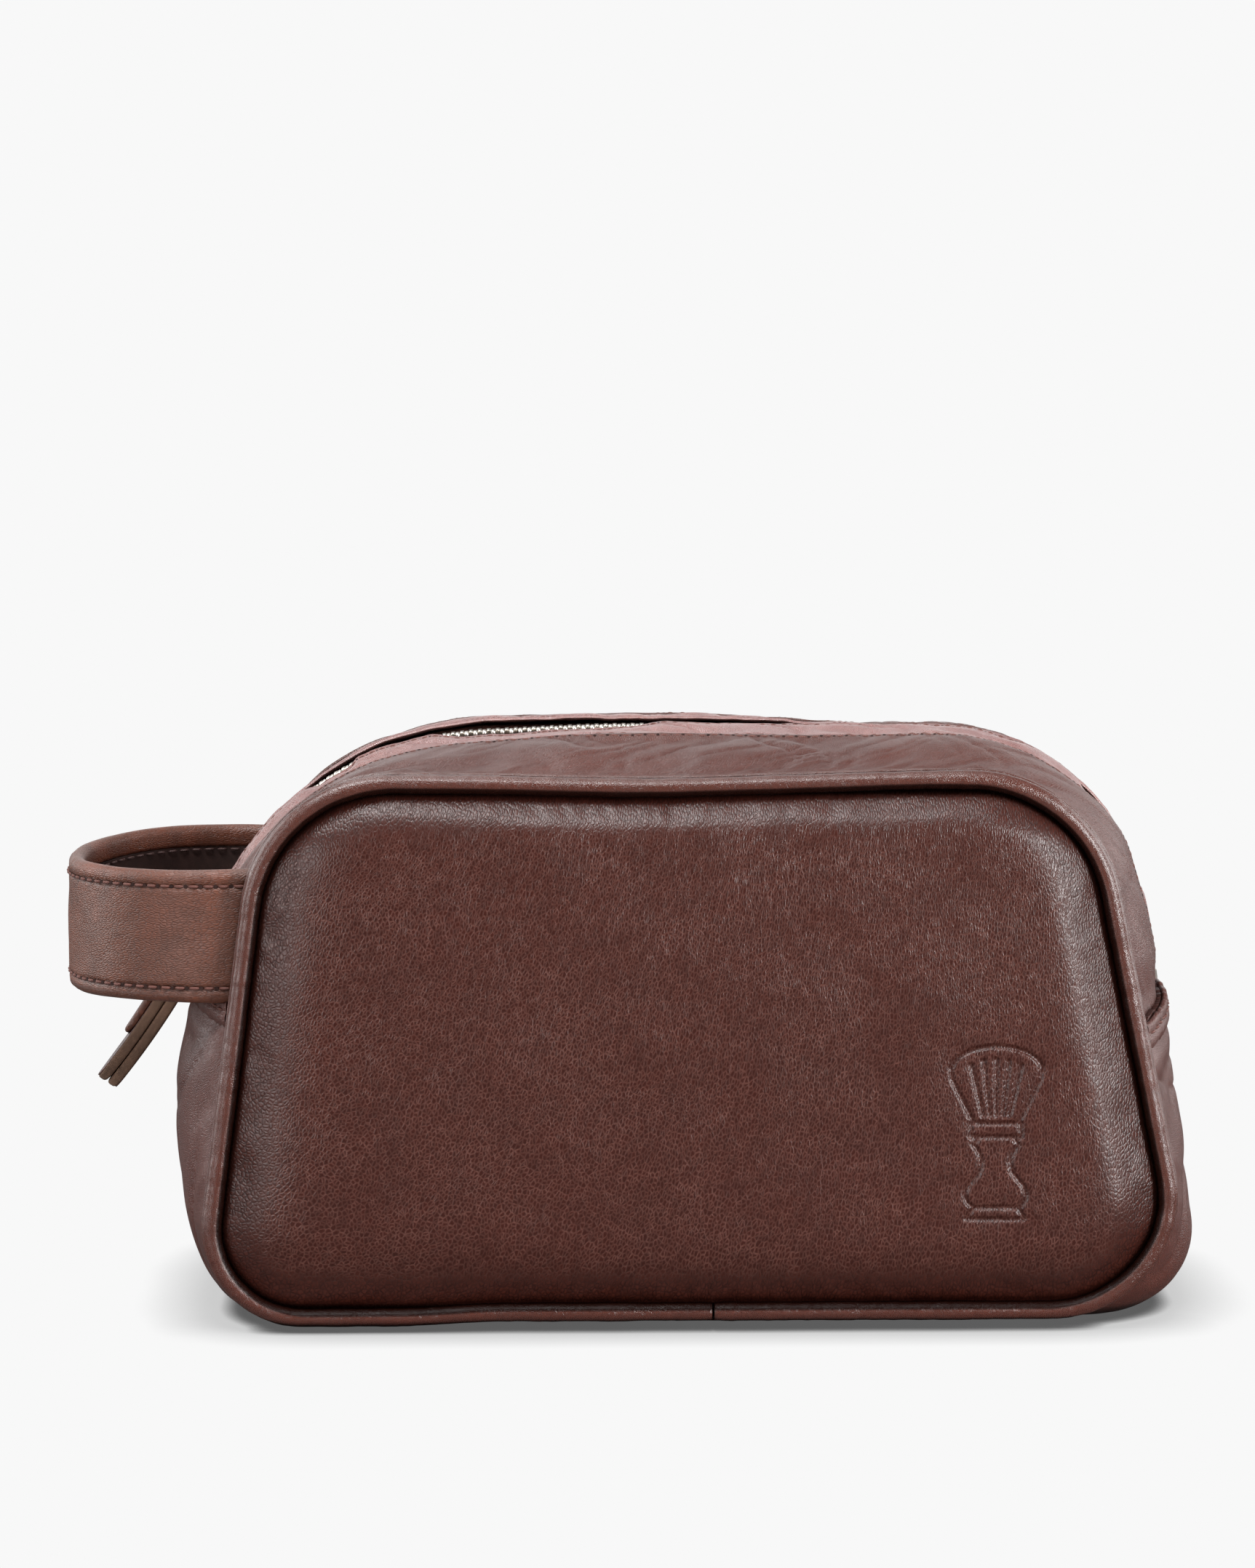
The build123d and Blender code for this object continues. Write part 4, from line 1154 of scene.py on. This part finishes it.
def carry_loop():
    """Strap round the left end: its leather, suede lining and stitch rows."""
    turns = np.linspace(-0.10, math.pi + 0.10, 260)
    for piece in (strap_leather(turns), strap_suede(turns), *strap_stitches()):
        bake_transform(piece)


# ---- slider, link and pull ----------------------------------------------------------------------------
ARC_CENTRE = np.array([-50.77, 72.5])
ARC_R = 80.0
SLIDER_DEG, SLIDER_HALF_WIDTH = 15.5, 4.6
LINK_CENTRE = np.array([-132.196, 0.0, 95.082])
PULL_TOP = np.array([-134.067, 0.0, 86.278])
PULL_SLOPE = math.radians(55)
PULL_LENGTH, PULL_HALF_WIDTH = 36.5, 5.5
TAIL_LENGTH = 22.3
LINK_SLOPE = math.radians(78)
LINK_LENGTH, LINK_HALF_WIDTH, LINK_WIRE = 9.0, 5.0, 0.8


def slider_frame():
    """Middle of the slider on the zip's arc, with directions up the zip, across it and outwards."""
    turn = math.radians(180 - SLIDER_DEG)
    out = np.array([math.cos(turn), 0.0, math.sin(turn)])
    up = np.array([out[2], 0.0, -out[0]])
    origin = np.array([ARC_CENTRE[0], 0.0, ARC_CENTRE[1]]) + out * ARC_R
    return origin, up, np.array([0.0, 1.0, 0.0]), out


def rounded_slab(name, outline_points, low, high, place, material, bevel=0.35):
    """Plate with softened edges from an outline in its own plane."""
    centre = outline_points.mean(axis=0)
    reach = np.linalg.norm(outline_points - centre, axis=1).mean()
    rings = []
    for share in np.linspace(0, 1, 5):
        turn = share * math.pi / 2
        rings.append((1 - bevel / reach * (1 - math.sin(turn)), low + bevel * (1 - math.cos(turn))))
    rings += [(scale, high - (level - low)) for scale, level in rings[::-1]]
    local = np.concatenate([np.column_stack([centre + (outline_points - centre) * scale,
                                             np.full(len(outline_points), level)])
                            for scale, level in rings])
    faces = capped_faces(len(rings), len(outline_points))
    return make_mesh(name, place(local), faces, material, local[:, :2])


def slider_outline(inflate=0.0):
    """Shield shape of the slider's plates: two shoulders and a narrower tail."""
    half = SLIDER_HALF_WIDTH + inflate
    nose = arc_points(3.2, 0, 3.8 + inflate, half, -90, 90, 18)
    tail = arc_points(-4.8, 0, 2.2 + inflate, half * 0.62, 90, 270, 14)
    return np.concatenate([nose, tail])


def zip_slider():
    """Cast slider: top and bottom plates, a round post as the wedge, and bridge."""
    origin, up, across, out = slider_frame()

    def place(local):
        return origin + local[:, :1] * up + local[:, 1:2] * across + local[:, 2:3] * out

    parts = [rounded_slab("slider_top", slider_outline(), 0.3, 1.7, place, ZIP_METAL),
             rounded_slab("slider_bottom", slider_outline(-0.2), -5.3, -4.1, place, ZIP_METAL)]
    post = arc_points(3.5, 0, 1.1, 0.9, 0, 360, 16)[:-1]
    parts.append(rounded_slab("slider_post", post, -4.3, 0.5, place, ZIP_METAL, 0.1))
    turns = np.linspace(0, math.pi, 15)
    rise = np.maximum(np.sin(turns), 0) ** 0.6
    bridge = np.stack([2.9 * np.cos(turns), 0 * turns, 1.3 + 3.9 * rise], axis=1)
    parts.append(tube("slider_bridge", place(bridge), 1.15, ZIP_METAL, 12, closed=False))
    slider = join("slider_body", parts)
    finish_piece(slider, "slider", "zip_metal", "zip_slider")


def link():
    """Wire link between the slider's bridge and the pull."""
    down = np.array([-math.cos(LINK_SLOPE), 0.0, -math.sin(LINK_SLOPE)])
    across = np.array([0.0, 1.0, 0.0])
    radius = 2.2
    near, far, wide = radius, LINK_LENGTH - radius, LINK_HALF_WIDTH - radius
    corners = ((near, wide, 180), (far, wide, 90), (far, -wide, 0), (near, -wide, -90))
    path = np.concatenate([arc_points(u, v, radius, radius, start, start - 90, 9)
                           for u, v, start in corners])
    points = LINK_CENTRE + path[:, :1] * down + path[:, 1:] * across
    piece = tube("link_ring", points, LINK_WIRE, ZIP_METAL, 14, start_normal=tuple(np.cross(down, across)))
    finish_piece(piece, "link", "zip_metal", "pull_link")


def pull_tab():
    """Leather pull: two layers folded round the link, a raw edge, a groove between, and a short tail."""
    down = np.array([-math.cos(PULL_SLOPE), 0.0, -math.sin(PULL_SLOPE)])
    across = np.array([0.0, 1.0, 0.0])
    out = np.array([-math.sin(PULL_SLOPE), 0.0, math.cos(PULL_SLOPE)])

    def place(local):
        share = np.clip(local[:, :1] / PULL_LENGTH, 0, 1)
        bend = 3.0 * (share**2 - share)
        return PULL_TOP + local[:, :1] * down + local[:, 1:2] * across + (local[:, 2:3] + bend) * out

    def tongue(start, length, half):
        tip = arc_points(length - half * 0.8, 0, half * 0.8, half, -90, 90, 17)
        side = np.column_stack([np.linspace(length - half * 0.8, start, 24)[1:], np.full(23, half)])
        other = side[::-1] * (1, -1)
        return np.concatenate([tip, side, other])

    def layer(name, start, length, half, low, high, material):
        bevel = min(0.9, 0.45 * (high - low))
        return rounded_slab(name, tongue(start, length, half), low, high, place, material, bevel)

    layers = (("pull_under", "pull_layer_inner", -2.85, -0.12), ("pull_over", "pull_layer_outer", 0.12, 2.85))
    for name, node, low, high in layers:
        core = layer(name, 3.0, PULL_LENGTH, PULL_HALF_WIDTH, low, high, RAW_EDGE)
        face_low, face_high = (low - 0.12, low + 0.2) if low < 0 else (high - 0.2, high + 0.12)
        face = layer(name + "_face", 3.3, PULL_LENGTH - 0.3, PULL_HALF_WIDTH - 0.35, face_low, face_high,
                     TRIM_LEATHER)
        finish_piece(join(name, [core, face]), "pull", "leather_trim", node)
    tail = layer("pull_tail_tab", 3.4, TAIL_LENGTH, PULL_HALF_WIDTH - 0.4, 2.95, 4.8, STRAP_LEATHER)
    finish_piece(tail, "pull", "leather_trim", "pull_tail")
    turns = np.radians(np.linspace(-52, 232, 33))
    bend = np.stack([0.15 - 1.95 * np.sin(turns), 1.95 * np.cos(turns)], axis=1)
    fold_path = np.concatenate([[(3.4, 1.7)], bend, [(3.4, -1.7)]])
    local = np.array([[(u, y, v) for u, v in fold_path] for y in np.linspace(-3.2, 3.2, 9)])
    grid = place(local.reshape(-1, 3)).reshape(local.shape)
    normals = grid_normals(grid)
    away = ((grid - PULL_TOP) * normals).sum(axis=-1).mean()
    normals *= math.copysign(1, away)
    loop = thick_sheet("pull_fold", grid, normals, 0.95, TRIM_LEATHER, local[..., :2])
    finish_piece(loop, "pull", "leather_trim", "pull_loop")


# ---- carried-over CAD nodes ---------------------------------------------------------------------------
def in_place(name, colour, roughness, threads=None):
    """Material for a CAD node, laid out by its own coordinates: card, or cloth with thread waves."""
    n = Nodes(bpy.data.materials.new(name))
    place = n.add("ShaderNodeTexCoord").outputs["Object"]
    height = n.noise(place, 700.0, 3.0, 0.6)
    cloud = n.noise(place, 45.0, 3.0, 0.6)
    dark = tuple(c * 0.45 for c in colour)
    tone = n.mix(n.remap(cloud, 0.35, 0.75, 0.0, 0.6), colour, dark)
    if threads:
        parts = n.add("ShaderNodeSeparateXYZ", {0: n.place(place, scale=(threads,) * 3)}).outputs
        lines = [n.math("ABSOLUTE", n.math("SINE", parts[k])) for k in range(3)]
        height = n.math("MULTIPLY", n.math("MULTIPLY", lines[0], lines[1]), lines[2])
        height = n.math("POWER", height, 0.4)
        tone = n.mix(n.remap(height, 0.1, 0.8), dark, tone)
    n.set(Base_Color=tone, Roughness=roughness, Normal=n.bump(height, 0.0001, 0.7), Specular_IOR_Level=0.2)
    return n.material


def dress_cad_nodes():
    """Materials of the CAD nodes that stay visible or sit inside."""
    cloth = in_place("lining_weave", (0.060, 0.045, 0.038), 0.9, threads=5200.0)
    card = in_place("base_card", (0.16, 0.12, 0.085), 0.85)
    dressed = {cloth: ["front_panel_lining", "back_panel_lining", "slip_pocket"],
               card: ["base_board"], ZIP_METAL: ["zip_stop_left", "zip_stop_right"]}
    for material, names in dressed.items():
        for node_name in names:
            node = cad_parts[node_name]
            node.data.materials.clear()
            node.data.materials.append(material)


# ---- stage, light and camera --------------------------------------------------------------------------
PALE = (0.939, 0.939, 0.939, 1)


def split_by_ray(n, kind, seen, other):
    """Output of one shader to the camera and of another to every other ray."""
    rays = n.add("ShaderNodeLightPath").outputs["Is Camera Ray"]
    chosen = n.add("ShaderNodeMixShader", {0: rays, 1: other, 2: seen}).outputs[0]
    n.add(f"ShaderNodeOutput{kind}", {"Surface": chosen})


def backdrop():
    """Seamless pale floor with a soft contact shadow."""
    n = Nodes(bpy.data.materials.new("floor_white"))
    n.tree.nodes.clear()
    shades = []
    for reach, low, high, darkest in ((0.024, 0.45, 0.93, 0.64), (0.006, 0.35, 0.8, 0.18)):
        shelter = n.add("ShaderNodeAmbientOcclusion", {"Distance": reach}, samples=16).outputs["AO"]
        shades.append(n.add("ShaderNodeMapRange", {"Value": shelter, "From Min": low, "From Max": high,
                                                   "To Min": darkest}).outputs["Result"])
    glow = n.add("ShaderNodeEmission", {"Color": PALE, "Strength": n.math("MULTIPLY", *shades)}).outputs[0]
    soft = n.add("ShaderNodeLightPath").outputs["Is Diffuse Ray"]
    bounce = n.add("ShaderNodeMapRange", {"Value": soft, "To Min": 0.08, "To Max": 0.42}).outputs["Result"]
    matte = n.add("ShaderNodeBsdfDiffuse", {"Color": bounce}).outputs[0]
    split_by_ray(n, "Material", glow, matte)
    size = 6.0
    corners = [(-size, -size, 0), (size, -size, 0), (size, size, 0), (-size, size, 0)]
    mesh = bpy.data.meshes.new("floor")
    mesh.from_pydata(corners, [], [(0, 1, 2, 3)])
    mesh.materials.append(n.material)
    floor = bpy.data.objects.new("floor", mesh)
    bpy.context.scene.collection.objects.link(floor)


def studio_world():
    """White background for the camera; for other rays, a dark front with pale sides, top and back."""
    world = bpy.data.worlds.new("studio")
    bpy.context.scene.world = world
    n = Nodes(world)
    n.tree.nodes.clear()
    direction = n.add("ShaderNodeTexCoord").outputs["Generated"]
    x, y, z = n.add("ShaderNodeSeparateXYZ", {0: direction}).outputs
    total = 0.012
    for value, low, high, strength in ((n.math("ABSOLUTE", x), 0.60, 0.98, 0.70), (z, 0.84, 0.99, 1.30),
                                       (y, 0.55, 0.96, 1.25)):
        total = n.math("ADD", n.remap(value, low, high, 0.0, strength), total)
    seen = n.add("ShaderNodeBackground", {"Color": PALE}).outputs[0]
    around = n.add("ShaderNodeBackground", {"Color": (1, 1, 1, 1), "Strength": total}).outputs[0]
    split_by_ray(n, "World", seen, around)


def area_light(name, position, target, width, height, power, glossy=True):
    """Soft rectangular light, in metres and watts; one with no gloss only fills the shadows."""
    data = bpy.data.lights.new(name, "AREA")
    data.shape = "RECTANGLE"
    data.size, data.size_y = width, height
    data.energy = power
    lamp = bpy.data.objects.new(name, data)
    lamp.location = position
    direction = Vector(target) - Vector(position)
    lamp.rotation_euler = direction.to_track_quat("-Z", "Y").to_euler()
    lamp.visible_camera = False
    lamp.visible_glossy = glossy
    bpy.context.scene.collection.objects.link(lamp)


def lights():
    """Tall soft boxes round the sides, one overhead, and a fill in front that leaves no gloss."""
    area_light("left_box", (-1.00, -0.96, 0.15), (0, 0, 0.07), 0.40, 0.8, 9)
    area_light("right_box", (1.02, -0.96, 0.30), (0, 0, 0.07), 0.24, 1.1, 34)
    area_light("left_rim", (-1.15, 0.35, 0.45), (0, 0, 0.07), 0.7, 1.0, 9)
    area_light("right_rim", (1.15, 0.40, 0.45), (0, 0, 0.07), 0.7, 1.0, 10)
    area_light("brow_box", (-0.35, -0.50, 1.15), (0.0, 0, 0.13), 1.1, 0.22, 18)
    area_light("top_box", (-0.3, 0.55, 1.2), (0, 0, 0.1), 0.6, 0.5, 4)
    area_light("front_fill", (-0.45, -1.55, 0.7), (0, 0, 0.07), 1.6, 0.9, 5, glossy=False)


def camera():
    """View of the front from slightly above."""
    data = bpy.data.cameras.new("camera")
    data.lens = 110.0
    data.sensor_width = data.sensor_height = 36.0
    data.sensor_fit = "AUTO"
    data.clip_end = 20.0
    eye = bpy.data.objects.new("camera", data)
    azimuth, elevation, distance = math.radians(-2.0), math.radians(13.0), 1.25
    target = Vector((0.0, -0.052, 0.0))
    level = distance * math.cos(elevation)
    eye.location = target + Vector((level * math.sin(azimuth), -level * math.cos(azimuth),
                                    distance * math.sin(elevation)))
    aim = Vector((-0.01539, 0.0, 0.1362))
    eye.rotation_euler = (aim - eye.location).to_track_quat("-Z", "Y").to_euler()
    bpy.context.scene.collection.objects.link(eye)
    bpy.context.scene.camera = eye


# ---- build --------------------------------------------------------------------------------------------
SIDES = ((-1, "front"), (1, "back"))
for side, side_name in SIDES:
    cushion = panel(side, f"{side_name}_cushion", with_emblem=side < 0)
    finish_piece(cushion, "bag", "leather_main", f"{side_name}_panel", f"{side_name}_pad", pad=0.55)
    cord_roll = piping(side, f"{side_name}_piping_roll")
    finish_piece(cord_roll, "bag", "leather_trim", f"{side_name}_piping", f"{side_name}_piping_cord")
    binding = seam_binding(side, f"{side_name}_seam_binding")
    finish_piece(binding, "bag", "leather_trim", f"{side_name}_seam_strip")
    top_gusset(side, side_name)
    facing(side, side_name)
    zip_tape(side, side_name)
    zip_teeth(side, side_name)
    lip_lining(side, side_name)
base_gusset()
for end in ("left", "right"):
    hem(end)
carry_loop()
zip_slider()
link()
pull_tab()
dress_cad_nodes()
backdrop()
studio_world()
lights()
camera()
bpy.context.scene.view_settings.view_transform = "Standard"
